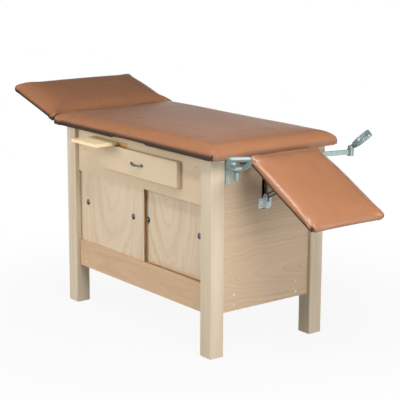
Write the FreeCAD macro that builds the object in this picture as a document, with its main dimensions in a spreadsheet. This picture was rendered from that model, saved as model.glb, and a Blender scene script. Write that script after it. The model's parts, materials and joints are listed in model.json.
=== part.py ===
import FreeCAD, Part
import math
import os
import re

import Sketcher

# An examination table: a maple cabinet on four legs with sliding doors, a drawer and a pull-out shelf,
# under a padded top in three sections. The head section tilts up on seam hinges, the foot leaf drops on
# strap hinges, and each is held by a slotted stay. Two stirrups swing out under the foot end.
# X runs along the table towards the foot end, the doors face -Y, Z is up, and the origin is on the floor
# under the middle of the leg box. Millimetres and degrees.

# Driving dimensions
SIZES = {
    # Carcass
    "box_length": 930,
    "box_width": 531,
    "leg_side": 60,
    "leg_ease": 3,
    "foot_ease": 3,
    "top_height": 722,
    "panel_thick": 16,
    "panel_recess": 15,
    "panel_bottom": 157,
    "apron_height": 105,
    "rail_height": 177,
    "floor_thick": 12,
    "floor_gap": 0.5,
    "block_height": 60,
    "block_reach": 65,
    "block_end_reach": 75,
    "block_thick": 22,
    "low_block_bottom": 167,
    "high_block_drop": 97,
    "screw_edge": 10,
    "screw_inset": 49,
    "end_screw_inset": 58,
    "screw_head_radius": 4.5,
    "screw_head_height": 2,
    "screw_radius": 2.2,
    "screw_length": 32,
    # Sliding doors
    "track_height": 12,
    "track_depth": 20,
    "door_set": 8,
    "door_pitch": 15,
    "groove_width": 7,
    "low_groove": 6,
    "high_track_height": 14,
    "high_groove": 10,
    "door_thick": 6,
    "door_width": 433,
    "door_play": 0.5,
    "door_hold": 6,
    "door_end_gap": 2,
    "cup_height": 423,
    "cup_radius": 9.5,
    "cup_lip": 2.5,
    "cup_lip_thick": 0.8,
    "cup_wall": 1,
    "cup_play": 0.05,
    "cup_outer_inset": 52,
    "cup_inner_inset": 68,
    # Drawer
    "drawer_centre": 24,
    "drawer_face_width": 496,
    "drawer_face_drop": 135,
    "drawer_face_height": 97,
    "drawer_face_thick": 18,
    "drawer_face_ease": 2,
    "drawer_face_gap": 0.5,
    "drawer_box_width": 470,
    "drawer_box_lift": 13,
    "drawer_box_height": 72,
    "drawer_box_depth": 400,
    "drawer_wall": 12,
    "drawer_base_lift": 6,
    "drawer_base_thick": 5,
    "drawer_gap": 2,
    "runner_ledge": 14,
    "runner_thick": 18,
    "runner_guide": 24,
    "pull_length": 86,
    "pull_depth": 17,
    "pull_height": 12,
    "pull_thick": 5,
    "pull_foot": 8,
    # Pull-out shelf
    "shelf_left": -289,
    "shelf_width": 168,
    "shelf_drop": 24,
    "shelf_thick": 12,
    "shelf_length": 400,
    "shelf_out": 105,
    "shelf_ease": 3,
    "shelf_play": 0.5,
    "shelf_slot_gap": 1.5,
    "guide_length": 300,
    "guide_thick": 20,
    "guide_nose": 60,
    "guide_ledge": 9,
    "guide_ledge_thick": 5.5,
    # Padded top
    "head_overhang": 36,
    "foot_overhang": 45,
    "top_width": 600,
    "pad_height": 45,
    "board_thick": 16,
    "pad_wrap": 14,
    "pad_corner": 14,
    "pad_roll": 24,
    "pad_shoulder": 28,
    "pad_seam_share": 0.45,
    "pad_tuck": 11,
    "pad_crown": 5,
    "pad_draw": 2,
    "pad_lift": 1,
    "pad_gap": 0.4,
    "end_lift": 10,
    "end_board_thick": 12,
    "end_roll": 21,
    # Backrest and its seam hinges
    "back_length": 331,
    "seam_gap": 8,
    "back_tilt_angle": 15.7,
    "back_tilt_angle_most": 60,
    "back_axis_drop": 5,
    "back_hinge_spread": 150,
    "back_hinge_length": 90,
    "knuckle_length": 29,
    "knuckle_radius": 4.5,
    "knuckle_gap": 0.5,
    "plate_thick": 2,
    "plate_clear": 1,
    "plate_flange": 46,
    "flange_thick": 3,
    "back_pin_radius": 2.5,
    # Foot leaf and its strap hinges
    "leaf_length": 386,
    "leaf_width": 332,
    "leaf_gap": 4,
    "leaf_drop_angle": 28.8,
    "leaf_drop_angle_most": 80,
    "leaf_axis_out": 40,
    "leaf_axis_drop": 14,
    "leaf_hinge_spread": 110,
    "strap_width": 22,
    "strap_thick": 6,
    "strap_reach": 120,
    "strap_stand": 4,
    "eye_radius": 9,
    "clevis_ear": 5,
    "clevis_play": 0.4,
    "clevis_plate": 4,
    "clevis_plate_height": 30,
    "leaf_pin_radius": 4,
    "running_play": 0.05,
    # Stays, their eyes and catches
    "stay_side": -10,
    "slot_width": 26,
    "slot_below": 47,
    "head_slot_below": 60,
    "slot_above": 83,
    "catch_drop": 162,
    "catch_out": 12,
    "catch_depth": 43,
    "catch_flange_drop": 7,
    "catch_flange_width": 21.5,
    "catch_flange_thick": 3,
    "catch_cheek": 3,
    "catch_gap": 5,
    "catch_radius": 9,
    "catch_web": 24,
    "stay_thick": 6,
    "stay_depth": 18,
    "stay_tail": 22,
    "stay_pin_radius": 4,
    "stay_slot_play": 0.3,
    "stay_notch": 2.5,
    "stay_eye_drop": 14,
    "stay_eye_plate": 3,
    "stay_eye_length": 44,
    "stay_eye_width": 34,
    "stay_cheek": 5,
    "stay_cheek_gap": 3.5,
    # Stirrups
    "stirrup_spread": 183,
    "stirrup_out": 32,
    "stirrup_drop": 32,
    "bracket_width": 22,
    "bracket_thick": 5,
    "bracket_below": 67,
    "bracket_above": 17,
    "ear_thick": 6,
    "ear_gap": 20,
    "arm_length": 163.5,
    "arm_height": 17,
    "arm_thick": 9,
    "arm_eye_height": 19.2,
    "stirrup_pin_radius": 5,
    "front_swing_angle": 35.6,
    "rear_swing_angle": 77,
    "front_loop_angle": 28,
    "rear_loop_angle": 52,
    "hub_radius": 12,
    "hub_height": 26,
    "spigot_radius": 6,
    "collar_radius": 10,
    "collar_height": 10,
    "collar_gap": 0.3,
    "loop_lean_angle": 50,
    "loop_thick": 14,
    "loop_start": 7,
    "loop_rise": 1.5,
    "loop_stem": 20,
    "loop_bow": 8,
    "loop_radius": 42,
    "loop_bore_radius": 28,
    "loop_bore_side": 25,
    "loop_tread": 42,
    "loop_corner": 12,
    "loop_round": 4,
}

# Faces, heights and axes that follow from the driving dimensions
PLACES = {
    "leg_inner_x": "box_length / 2 - leg_side",
    "leg_inner_y": "box_width / 2 - leg_side",
    "end_face": "box_length / 2 - panel_recess",
    "end_inner": "end_face - panel_thick",
    "side_face": "box_width / 2 - panel_recess",
    "side_inner": "side_face - panel_thick",
    "rail_bottom": "top_height - rail_height",
    "high_block_bottom": "top_height - high_block_drop",
    "apron_top": "panel_bottom + apron_height",
    "floor_top": "apron_top - track_height",
    "groove_one": "(door_set - side_face - side_inner) / 2",
    "groove_two": "groove_one + door_pitch",
    "track_back": "track_depth - side_inner",
    "door_bottom": "apron_top - low_groove + door_play",
    "door_top": "rail_bottom + door_hold",
    "door_end": "leg_inner_x - door_end_gap",
    "drawer_face_bottom": "top_height - drawer_face_drop",
    "drawer_box_bottom": "drawer_face_bottom + drawer_box_lift",
    "drawer_face_back": "0 - side_face - drawer_face_gap",
    "drawer_face_front": "drawer_face_back - drawer_face_thick",
    "drawer_box_left": "drawer_centre - drawer_box_width / 2",
    "drawer_box_right": "drawer_centre + drawer_box_width / 2",
    "drawer_box_top": "drawer_box_bottom + drawer_box_height",
    "drawer_box_back": "drawer_face_back + drawer_box_depth",
    "drawer_face_middle": "drawer_face_bottom + drawer_face_height / 2",
    "shelf_right": "shelf_left + shelf_width",
    "shelf_top": "top_height - shelf_drop",
    "shelf_bottom": "shelf_top - shelf_thick",
    "shelf_front": "0 - side_face - shelf_out",
    "shelf_slot_right": "shelf_right + shelf_play + guide_nose",
    "top_surface": "top_height + pad_height",
    "end_under": "top_height + end_lift",
    "main_head": "box_length / 2 + head_overhang",
    "main_foot": "box_length / 2 + foot_overhang",
    "half_width": "top_width / 2",
    "back_start": "main_head + seam_gap",
    "back_end": "back_start + back_length",
    "back_axis_x": "0 - main_head - seam_gap / 2",
    "back_axis_z": "top_surface - back_axis_drop",
    "leaf_start": "main_foot + leaf_gap",
    "leaf_end": "leaf_start + leaf_length",
    "leaf_axis_x": "end_face + leaf_axis_out",
    "leaf_axis_z": "top_height - leaf_axis_drop",
    "catch_x": "end_face + catch_out",
    "catch_height": "top_height - catch_drop",
    "catch_bottom": "catch_height - catch_depth",
    "catch_flange_top": "catch_height - catch_flange_drop",
    "catch_edge": "catch_x + catch_radius - catch_flange_thick / 3",
    "slot_bottom": "catch_height - slot_below",
    "head_slot_bottom": "catch_height - head_slot_below",
    "slot_top": "catch_height + slot_above",
    "stay_eye_z": "end_under - stay_eye_drop",
    # The eye of each stay is as far from the hinge as the catch is, so the stay turns at half the rate
    "leaf_arm": "sqrt((leaf_axis_x - catch_x)^2 + (leaf_axis_z - catch_height)^2)",
    "leaf_eye_rise": "stay_eye_z - leaf_axis_z",
    "leaf_eye_reach": "sqrt(leaf_arm^2 - leaf_eye_rise^2)",
    "leaf_angle": "(atan2(leaf_eye_rise; leaf_eye_reach)"
                  " + atan2(leaf_axis_z - catch_height; catch_x - leaf_axis_x)) / 1deg",
    "leaf_span_long": "2 * leaf_arm * sin(leaf_angle / 2)",
    "leaf_span_short": "2 * leaf_arm * sin((leaf_angle - leaf_drop_angle_most) / 2)",
    "leaf_eye_x": "leaf_axis_x + leaf_eye_reach * cos(leaf_drop_angle)"
                  " + leaf_eye_rise * sin(leaf_drop_angle)",
    "leaf_eye_z": "leaf_axis_z - leaf_eye_reach * sin(leaf_drop_angle)"
                  " + leaf_eye_rise * cos(leaf_drop_angle)",
    "leaf_stay_slope": "atan2(leaf_eye_z - catch_height; leaf_eye_x - catch_x) / 1deg",
    "back_arm": "sqrt((0 - back_axis_x - catch_x)^2 + (back_axis_z - catch_height)^2)",
    "back_eye_rise": "stay_eye_z - back_axis_z",
    "back_eye_reach": "sqrt(back_arm^2 - back_eye_rise^2)",
    "back_angle": "(atan2(back_eye_rise; back_eye_reach)"
                  " + atan2(back_axis_z - catch_height; catch_x + back_axis_x)) / 1deg",
    "back_span_short": "2 * back_arm * sin(back_angle / 2)",
    "back_span_long": "2 * back_arm * sin((back_angle + back_tilt_angle_most) / 2)",
    "back_eye_x": "back_axis_x - back_eye_reach * cos(back_tilt_angle)"
                  " + back_eye_rise * sin(back_tilt_angle)",
    "back_eye_z": "back_axis_z + back_eye_reach * sin(back_tilt_angle)"
                  " + back_eye_rise * cos(back_tilt_angle)",
    "back_stay_slope": "atan2(back_eye_z - catch_height; 0 - catch_x - back_eye_x) / 1deg",
    "strap_rise": "leaf_start + strap_stand",
    "stirrup_x": "end_face + stirrup_out",
    "stirrup_height": "top_height - stirrup_drop",
    "bracket_bottom": "stirrup_height - bracket_below",
    "bracket_top": "stirrup_height + bracket_above",
    "hub_top": "stirrup_height + hub_height / 2",
    "hub_bottom": "stirrup_height - hub_height / 2",
    "collar_bottom": "hub_top + collar_gap",
}

doc = FreeCAD.newDocument("ExaminationTable")
sizes = doc.addObject("Spreadsheet::Sheet", "Sizes")
places = doc.addObject("Spreadsheet::Sheet", "Places")
trial = doc.addObject("Spreadsheet::Sheet", "Trial")


def formula(text):
    """The text with each named size or place turned into a reference to its sheet."""
    def reference(match):
        word = match.group(0)
        if word in SIZES:
            return "Sizes." + word
        return "Places." + word if word in PLACES else word

    return re.sub(r"[a-z][a-z_]*", reference, text)


def fill(sheet, cells):
    for row, (alias, content) in enumerate(cells.items(), start=1):
        sheet.set(f"A{row}", alias)
        sheet.set(f"B{row}", content)
        sheet.setAlias(f"B{row}", alias)


fill(sizes, {alias: str(number) for alias, number in SIZES.items()})
fill(places, {alias: "=" + formula(text) for alias, text in PLACES.items()})
doc.recompute()


def value(text):
    """The number that a formula stands for now."""
    trial.set("A1", "=" + formula(str(text)))
    trial.recompute()
    return float(trial.get("A1"))


# Sketched outlines
PLANES = {"X": "YZ_Plane", "Y": "XZ_Plane", "Z": "XY_Plane"}


def rect(left, right, low, high):
    return [(left, low), (right, low), (right, high), (left, high)]


def ring(across, up, radius):
    return (across, up, radius)


def arc_between(start, end, radius, turn):
    """An arc of under a half circle from start to end, curving left (turn 1) or right (turn -1)."""
    chord = end - start
    lift = math.sqrt(max(radius ** 2 - (chord.Length / 2) ** 2, 0))
    side = FreeCAD.Vector(-chord.y, chord.x, 0).normalize() * turn
    centre = (start + end) / 2 + side * lift
    first, last = (start, end) if turn > 0 else (end, start)
    angles = [math.atan2(point.y - centre.y, point.x - centre.x) for point in (first, last)]
    circle = Part.Circle(centre, FreeCAD.Vector(0, 0, 1), radius)
    return Part.ArcOfCircle(circle, angles[0], angles[1])


def draw_ring(sketch, across, up, radius):
    centre = FreeCAD.Vector(value(across), value(up), 0)
    circle = Part.Circle(centre, FreeCAD.Vector(0, 0, 1), value(radius))
    shape = sketch.addGeometry(circle, False)
    hold(sketch, Sketcher.Constraint("Radius", shape, value(radius)), radius)
    hold(sketch, Sketcher.Constraint("DistanceX", -1, 1, shape, 3, centre.x), across)
    hold(sketch, Sketcher.Constraint("DistanceY", -1, 1, shape, 3, centre.y), up)


def hold(sketch, constraint, text):
    """Adds a constraint whose value follows a formula."""
    number = sketch.addConstraint(constraint)
    sketch.setExpression(f"Constraints[{number}]", formula(str(text)))


def draw_outline(sketch, corners):
    """A closed outline. A corner is (across, up), or (across, up, radius, turn) before an arc."""
    points = [FreeCAD.Vector(value(corner[0]), value(corner[1]), 0) for corner in corners]
    runs = []
    for number, corner in enumerate(corners):
        start, end = points[number], points[(number + 1) % len(points)]
        turn = corner[3] if len(corner) > 2 else 1
        if len(corner) > 2:
            shape = sketch.addGeometry(arc_between(start, end, value(corner[2]), turn), False)
        else:
            shape = sketch.addGeometry(Part.LineSegment(start, end), False)
        runs.append((shape, 1 if turn > 0 else 2, 2 if turn > 0 else 1))
    for number, (shape, first, last) in enumerate(runs):
        following = runs[(number + 1) % len(runs)]
        sketch.addConstraint(Sketcher.Constraint("Coincident", shape, last, following[0], following[1]))
    for corner, point, (shape, first, last) in zip(corners, points, runs):
        hold(sketch, Sketcher.Constraint("DistanceX", -1, 1, shape, first, point.x), corner[0])
        hold(sketch, Sketcher.Constraint("DistanceY", -1, 1, shape, first, point.y), corner[1])
        if len(corner) > 2:
            hold(sketch, Sketcher.Constraint("Radius", shape, value(corner[2])), corner[2])


def sketch_on(body, across, wires):
    plane = next(item for item in body.Origin.OriginFeatures if item.Role == PLANES[across])
    sketch = body.newObject("Sketcher::SketchObject", body.Name + "_outline")
    sketch.AttachmentSupport = (plane, [""])
    sketch.MapMode = "FlatFace"
    for wire in wires:
        if isinstance(wire, tuple):
            draw_ring(sketch, *wire)
        else:
            draw_outline(sketch, wire)
    return sketch


def feature(kind, body, sketch, thickness):
    made = body.newObject("PartDesign::" + kind, f"{body.Name}_{kind.lower()}")
    made.Profile = sketch
    made.Midplane = True
    made.setExpression("Length", formula(thickness))
    return made


def layer(kind, body, across, wires, low, high):
    """A Pad or Pocket between two levels of the axis that it runs across."""
    sketch = sketch_on(body, across, wires)
    sign = "-1" if across == "Y" else "1"
    sketch.setExpression("AttachmentOffset.Base.z", formula(f"{sign} * (({low}) + ({high})) / 2"))
    return feature(kind, body, sketch, f"({high}) - ({low})")


def grow(body, across, wires, low, high):
    return layer("Pad", body, across, wires, low, high)


def cut(body, across, wires, low, high):
    return layer("Pocket", body, across, wires, low, high)


def ease(body, kind, size, chosen):
    """Rounds (Fillet) or bevels (Chamfer) the chosen edges of the body so far."""
    doc.recompute()
    base = body.Tip
    names = [f"Edge{number}" for number, edge in enumerate(base.Shape.Edges, start=1) if chosen(edge)]
    made = body.newObject("PartDesign::" + kind, f"{body.Name}_{kind.lower()}")
    made.Base = (base, names)
    made.setExpression("Radius" if kind == "Fillet" else "Size", formula(size))


def runs_along(edge, axis):
    """Whether an edge is straight along X, Y or Z."""
    if not isinstance(edge.Curve, Part.Line):
        return False
    return abs(getattr(edge.tangentAt(edge.FirstParameter), axis.lower())) > 0.999


nodes = []


def piece(label):
    body = doc.addObject("PartDesign::Body", label)
    body.Label = label
    nodes.append(body)
    return body


def board(label, left, right, front, back, low, high, openings=()):
    """A flat board with square edges."""
    body = piece(label)
    grow(body, "Z", [rect(left, right, front, back), *openings], low, high)
    return body


def group(label, members):
    """Identical fasteners that share one node."""
    compound = doc.addObject("Part::Compound", label)
    compound.Label = label
    compound.Links = members
    nodes.append(compound)
    return compound


def rod(name, across, x, y, z, radius, length):
    """A plain pin, centred on a point, along X, Y or Z."""
    pin = doc.addObject("Part::Cylinder", name)
    pin.setExpression("Radius", formula(radius))
    pin.setExpression("Height", formula(length))
    turns = {"X": "vector(0; 1; 0); 90", "Y": "vector(1; 0; 0); -90", "Z": "vector(0; 0; 1); 0"}
    start = {"X": x, "Y": y, "Z": z}
    start[across] = f"({start[across]}) - ({length}) / 2"
    base = f"vector({start['X']}; {start['Y']}; {start['Z']})"
    pin.setExpression("Placement", formula(f"placement({base}; rotation({turns[across]}))"))
    return pin


def tilt(body, angle, axis_x, axis_z):
    """Turns a piece about a hinge axis along Y. A positive angle lowers its foot end."""
    turn = f"rotation(vector(0; 1; 0); {angle})"
    centre = f"vector({axis_x}; 0; {axis_z})"
    body.setExpression("Placement", formula(f"placement(vector(0; 0; 0); {turn}; {centre})"))


def with_back(body):
    tilt(body, "back_tilt_angle", "back_axis_x", "back_axis_z")
    return body


def with_leaf(body):
    tilt(body, "leaf_drop_angle", "leaf_axis_x", "leaf_axis_z")
    return body


# Carcass
def leg(label, side_x, side_y):
    body = piece(label)
    across = [f"{side_x} * leg_inner_x", f"{side_x} * box_length / 2"]
    along = [f"{side_y} * leg_inner_y", f"{side_y} * box_width / 2"]
    if side_x < 0:
        across.reverse()
    if side_y < 0:
        along.reverse()
    grow(body, "Z", [rect(*across, *along)], "0", "top_height")
    ease(body, "Fillet", "leg_ease", lambda edge: runs_along(edge, "Z"))
    ease(body, "Chamfer", "foot_ease", lambda edge: edge.BoundBox.ZMax < 1e-6)


def front_rail():
    body = piece("front_rail")
    face = rect("-leg_inner_x", "leg_inner_x", "rail_bottom", "top_height")
    drawer = rect(
        "drawer_box_left - drawer_gap",
        "drawer_box_right + drawer_gap",
        "drawer_box_bottom - drawer_gap",
        "drawer_box_top + drawer_gap",
    )
    shelf = rect(
        "shelf_left - shelf_slot_gap",
        "shelf_slot_right",
        "shelf_bottom - shelf_slot_gap",
        "shelf_top + shelf_slot_gap",
    )
    grow(body, "Y", [face, drawer, shelf], "-side_face", "-side_inner")
    door_rebate(body, "rail_bottom", "rail_bottom + high_groove")


def front_apron():
    body = piece("front_apron")
    face = rect("-leg_inner_x", "leg_inner_x", "panel_bottom", "apron_top")
    grow(body, "Y", [face], "-side_face", "-side_inner")
    door_rebate(body, "apron_top - low_groove", "apron_top")


def door_rebate(body, low, high):
    """A step along the back of a front board that the outer door runs in."""
    step = rect("door_set - side_face", "-side_inner", low, high)
    cut(body, "X", [step], "-leg_inner_x", "leg_inner_x")


def back_panel():
    body = piece("back_panel")
    face = rect("-leg_inner_x", "leg_inner_x", "panel_bottom", "top_height")
    grow(body, "Y", [face], "side_inner", "side_face")


def end_panel(label, side):
    body = piece(label)
    face = rect("-leg_inner_y", "leg_inner_y", "panel_bottom", "top_height")
    slot_low = "slot_bottom" if side > 0 else "head_slot_bottom"
    slot = rect("stay_side - slot_width / 2", "stay_side + slot_width / 2", slot_low, "slot_top")
    levels = ["end_inner", "end_face"] if side > 0 else ["-end_face", "-end_inner"]
    grow(body, "X", [face, slot], *levels)


def cabinet_floor():
    body = piece("cabinet_floor")
    x, y = "(leg_inner_x - floor_gap)", "(leg_inner_y - floor_gap)"
    outline = [
        (f"-{x}", "-side_inner"), (x, "-side_inner"), (x, f"-{y}"), ("end_inner", f"-{y}"),
        ("end_inner", y), (x, y), (x, "side_inner"), (f"-{x}", "side_inner"),
        (f"-{x}", y), ("-end_inner", y), ("-end_inner", f"-{y}"), (f"-{x}", f"-{y}"),
    ]
    grow(body, "Z", [outline], "floor_top - floor_thick", "floor_top")


def corner_blocks():
    """Braces behind the rails and end panels in every corner, under the floor and under the top."""
    blocks = []
    for side_x in (-1, 1):
        for side_y in (-1, 1):
            outline = [
                ("leg_inner_x - block_reach", "side_inner"),
                ("leg_inner_x", "side_inner"),
                ("leg_inner_x", "leg_inner_y"),
                ("end_inner", "leg_inner_y"),
                ("end_inner", "leg_inner_y - block_end_reach"),
                ("end_inner - block_thick", "leg_inner_y - block_end_reach"),
                ("leg_inner_x - block_reach", "side_inner - block_thick"),
            ]
            turned = [(f"{side_x} * ({x})", f"{side_y} * ({y})") for x, y in outline]
            for bottom in ("low_block_bottom", "high_block_bottom"):
                block = doc.addObject("PartDesign::Body", "corner_block")
                grow(block, "Z", [turned], bottom, f"{bottom} + block_height")
                blocks.append(block)
    group("corner_blocks", blocks)


def screw(name, axis, sign, x, y, z):
    """A round-headed wood screw whose head stands on a face that looks along sign times the axis."""
    start = {"X": x, "Y": y, "Z": z}
    middle = {"head": f"{sign} * screw_head_height / 2", "shank": f"{-sign} * screw_length / 2"}
    pieces = []
    for part, radius, length in (
        ("head", "screw_head_radius", "screw_head_height"),
        ("shank", "screw_radius", "screw_length"),
    ):
        spot = dict(start)
        spot[axis] = f"({start[axis]}) + ({middle[part]})"
        pieces.append(rod(f"{name}_{part}", axis, spot["X"], spot["Y"], spot["Z"], radius, length))
    whole = doc.addObject("Part::MultiFuse", name)
    whole.Shapes = pieces
    return whole


def frame_screws():
    low = ["low_block_bottom + screw_edge", "low_block_bottom + block_height - screw_edge"]
    high = ["high_block_bottom + screw_edge", "high_block_bottom + block_height - screw_edge"]
    screws = []
    for side in (-1, 1):
        inset = f"{side} * (leg_inner_x - screw_inset)"
        end_inset = f"{side} * (leg_inner_y - end_screw_inset)"
        for height in low + high:
            screws.append(screw("front_screw", "Y", -1, inset, "0 - side_face", height))
            screws.append(screw("rear_screw", "Y", 1, inset, "side_face", height))
        for height in low:
            screws.append(screw("foot_screw", "X", 1, "end_face", end_inset, height))
            screws.append(screw("head_screw", "X", -1, "0 - end_face", end_inset, height))
    group("frame_screws", screws)


# Sliding doors
def door_track(label, bottom, top, groove_low, groove_high):
    """A strip behind a front board that closes the outer door's step and has the inner door's groove."""
    body = board(label, "-leg_inner_x", "leg_inner_x", "-side_inner", "track_back", bottom, top)
    sides = ("groove_two - groove_width / 2", "groove_two + groove_width / 2")
    cut(body, "X", [rect(*sides, groove_low, groove_high)], "-leg_inner_x", "leg_inner_x")


def door_cups(side):
    """Where the finger cups of a door sit along X, from the leg side inwards."""
    return [
        f"{side} * (door_end - cup_outer_inset)",
        f"{side} * (door_end - door_width + cup_inner_inset)",
    ]


def door(label, side, groove):
    body = piece(label)
    span = ["door_end - door_width", "door_end"] if side > 0 else ["-door_end", "door_width - door_end"]
    holes = [ring(x, "cup_height", "cup_radius + cup_play") for x in door_cups(side)]
    face = rect(*span, "door_bottom", "door_top")
    grow(body, "Y", [face, *holes], f"{groove} - door_thick / 2", f"{groove} + door_thick / 2")


def finger_cups(label, side, groove):
    """Round metal cups let into a door, each a flat lip with a shallow well."""
    cups = []
    front = f"{groove} - door_thick / 2"
    back = f"{groove} + door_thick / 2"
    for x in door_cups(side):
        cup = doc.addObject("PartDesign::Body", label + "_cup")
        grow(cup, "Y", [ring(x, "cup_height", "cup_radius + cup_lip")], f"{front} - cup_lip_thick", front)
        grow(cup, "Y", [ring(x, "cup_height", "cup_radius")], front, back)
        well = ring(x, "cup_height", "cup_radius - cup_wall")
        cut(cup, "Y", [well], f"{front} - cup_lip_thick", f"{back} - cup_wall")
        cups.append(cup)
    group(label, cups)


# Drawer
def drawer():
    face = board(
        "drawer_front",
        "drawer_centre - drawer_face_width / 2",
        "drawer_centre + drawer_face_width / 2",
        "drawer_face_front",
        "drawer_face_back",
        "drawer_face_bottom",
        "drawer_face_bottom + drawer_face_height",
    )
    front = value("drawer_face_front")
    ease(face, "Fillet", "drawer_face_ease", lambda edge: edge.BoundBox.YMax < front + 1e-6)
    inner_left, inner_right = "drawer_box_left + drawer_wall", "drawer_box_right - drawer_wall"
    level = ("drawer_box_bottom", "drawer_box_top")
    board("drawer_side_left", "drawer_box_left", inner_left, "drawer_face_back", "drawer_box_back", *level)
    board("drawer_side_right", inner_right, "drawer_box_right", "drawer_face_back", "drawer_box_back", *level)
    back = ("drawer_box_back - drawer_wall", "drawer_box_back")
    board("drawer_back", inner_left, inner_right, *back, *level)
    base = "drawer_box_bottom + drawer_base_lift"
    base_level = (base, f"{base} + drawer_base_thick")
    board("drawer_bottom", inner_left, inner_right, "drawer_face_back", back[0], *base_level)


def drawer_pull():
    """A low arched pull, screwed through the drawer front by its two feet."""
    body = piece("drawer_pull")
    half, foot = "pull_length / 2", "pull_foot"
    face = "drawer_face_front"
    crest, shoulder = f"{face} - pull_depth", f"{face} - pull_depth * 0.6"
    inner_crest = f"{crest} + pull_thick"
    right = [
        (f"drawer_centre + {half}", face),
        (f"drawer_centre + {half} - {foot} / 2", shoulder),
        (f"drawer_centre + {half} - {foot} * 2", crest),
    ]
    inner_right = [
        (f"drawer_centre + {half} - {foot} * 2.2", inner_crest),
        (f"drawer_centre + {half} - {foot} * 1.4", f"{shoulder} + pull_thick"),
        (f"drawer_centre + {half} - {foot}", face),
    ]

    def mirrored(points):
        return [(f"2 * drawer_centre - ({x})", y) for x, y in reversed(points)]

    outline = right + mirrored(right) + mirrored(inner_right) + inner_right
    middle = "drawer_face_middle"
    turned = list(reversed(outline))
    grow(body, "Z", [turned], f"{middle} - pull_height / 2", f"{middle} + pull_height / 2")


def drawer_runner(label, side):
    """An L-shaped runner under one side of the drawer box, from the front rail to the back panel."""
    body = piece(label)
    edge = "drawer_box_right" if side > 0 else "drawer_box_left"
    shelf, guide = "drawer_box_bottom - drawer_face_gap", f"{edge} + {side} * drawer_face_gap"
    outer = f"{guide} + {side} * runner_thick"
    inner = f"{edge} - {side} * runner_ledge"
    outline = [
        (inner, f"{shelf} - runner_thick"),
        (outer, f"{shelf} - runner_thick"),
        (outer, f"{shelf} + runner_guide"),
        (guide, f"{shelf} + runner_guide"),
        (guide, shelf),
        (inner, shelf),
    ]
    grow(body, "Y", [outline], "-side_inner", "side_inner")


# Pull-out shelf
def pull_out_shelf():
    back = "shelf_front + shelf_length"
    body = board(
        "pull_out_shelf", "shelf_left", "shelf_right", "shelf_front", back, "shelf_bottom", "shelf_top"
    )
    front = value("shelf_front")
    ease(body, "Fillet", "shelf_ease", lambda edge: edge.BoundBox.YMax < front + 1e-6)


def shelf_guide(label, side):
    """A guide hung under the top, with a ledge that carries one edge of the shelf."""
    body = piece(label)
    edge = "shelf_right" if side > 0 else "shelf_left"
    near = f"{edge} + {side} * shelf_play"
    outer = f"{near} + {side} * {'guide_nose' if side > 0 else 'guide_thick'}"
    inner = f"{edge} - {side} * guide_ledge"
    ledge = "shelf_bottom - shelf_play"
    outline = [
        (inner, f"{ledge} - guide_ledge_thick"),
        (outer, f"{ledge} - guide_ledge_thick"),
        (outer, "top_height"),
        (near, "top_height"),
        (near, ledge),
        (inner, ledge),
    ]
    grow(body, "Y", [outline], "-side_inner", "guide_length - side_inner")
    if side > 0:
        nose = rect(near, f"{outer} - shelf_play", "shelf_bottom", "shelf_top")
        grow(body, "Y", [nose], "-side_face", "-side_inner")


# Padded top
def section_wire(left, right, front, back, height, inset, corner, draw):
    """A rounded rectangle at one height, its four sides drawn in between the corners."""
    left, right, front, back = left + inset, right - inset, front + inset, back - inset
    radius = max(corner - inset, corner / 4)
    share = radius * (1 - math.sqrt(0.5))
    middle_x, middle_y = (left + right) / 2, (front + back) / 2

    def point(x, y):
        return FreeCAD.Vector(x, y, height)

    sides = [
        (point(left + radius, front), point(middle_x, front + draw), point(right - radius, front)),
        (point(right - radius, front), point(right - share, front + share), point(right, front + radius)),
        (point(right, front + radius), point(right - draw, middle_y), point(right, back - radius)),
        (point(right, back - radius), point(right - share, back - share), point(right - radius, back)),
        (point(right - radius, back), point(middle_x, back - draw), point(left + radius, back)),
        (point(left + radius, back), point(left + share, back - share), point(left, back - radius)),
        (point(left, back - radius), point(left + draw, middle_y), point(left, front + radius)),
        (point(left, front + radius), point(left + share, front + share), point(left + radius, front)),
    ]
    return Part.Wire([Part.Arc(*side).toShape() for side in sides])


def cushion(label, left, right, half_width, low, roll_size, board_low, board_high, seam=0):
    """An upholstered pad: tucked under below, rolled at the shoulders, crowned on top, hollow for its board.

    The shoulder is steeper on the side that meets another pad at a seam: -1 for the left, 1 for the right.
    """
    left, right, half_width, low = value(left), value(right), value(half_width), value(low)
    roll, top, crown = value(roll_size), value("top_surface"), value("pad_crown")
    tuck, corner, draw = value("pad_tuck"), value("pad_corner"), value("pad_draw")
    shoulder, steeper = value("pad_shoulder"), 1 - value("pad_seam_share")
    under = top - roll - low
    levels = [(low, tuck), (low + under / 4, tuck / 3), (low + under * 0.6, tuck / 12), (top - roll, 0)]
    for angle in (30, 60, 90):
        turn = math.radians(angle)
        levels.append((top - roll + roll * math.sin(turn), shoulder * (1 - math.cos(turn))))
    reach = min(half_width, (right - left) / 2) - shoulder
    for share in (0.25, 0.6):
        levels.append((top + crown * (1 - (1 - share) ** 2), shoulder + reach * share))
    wires = []
    for height, inset in levels:
        spare = steeper * min(inset, shoulder) if height > top - roll else 0
        ends = (left - spare if seam < 0 else left, right + spare if seam > 0 else right)
        wires.append(section_wire(*ends, -half_width, half_width, height, inset, corner, draw))
    shape = Part.makeLoft(wires, True, True)
    gap, wrap = value("pad_gap"), value("pad_wrap")
    hollow_x, hollow_y = left + wrap - gap, wrap - gap - half_width
    hollow_low, hollow_high = value(board_low) - gap, value(board_high) + gap
    hollow = Part.makeBox(
        right - left - 2 * (wrap - gap),
        2 * (half_width - wrap + gap),
        hollow_high - hollow_low,
        FreeCAD.Vector(hollow_x, hollow_y, hollow_low),
    )
    pad = doc.addObject("Part::Feature", label)
    pad.Label = label
    pad.Shape = shape.cut(hollow)
    nodes.append(pad)
    return pad


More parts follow.
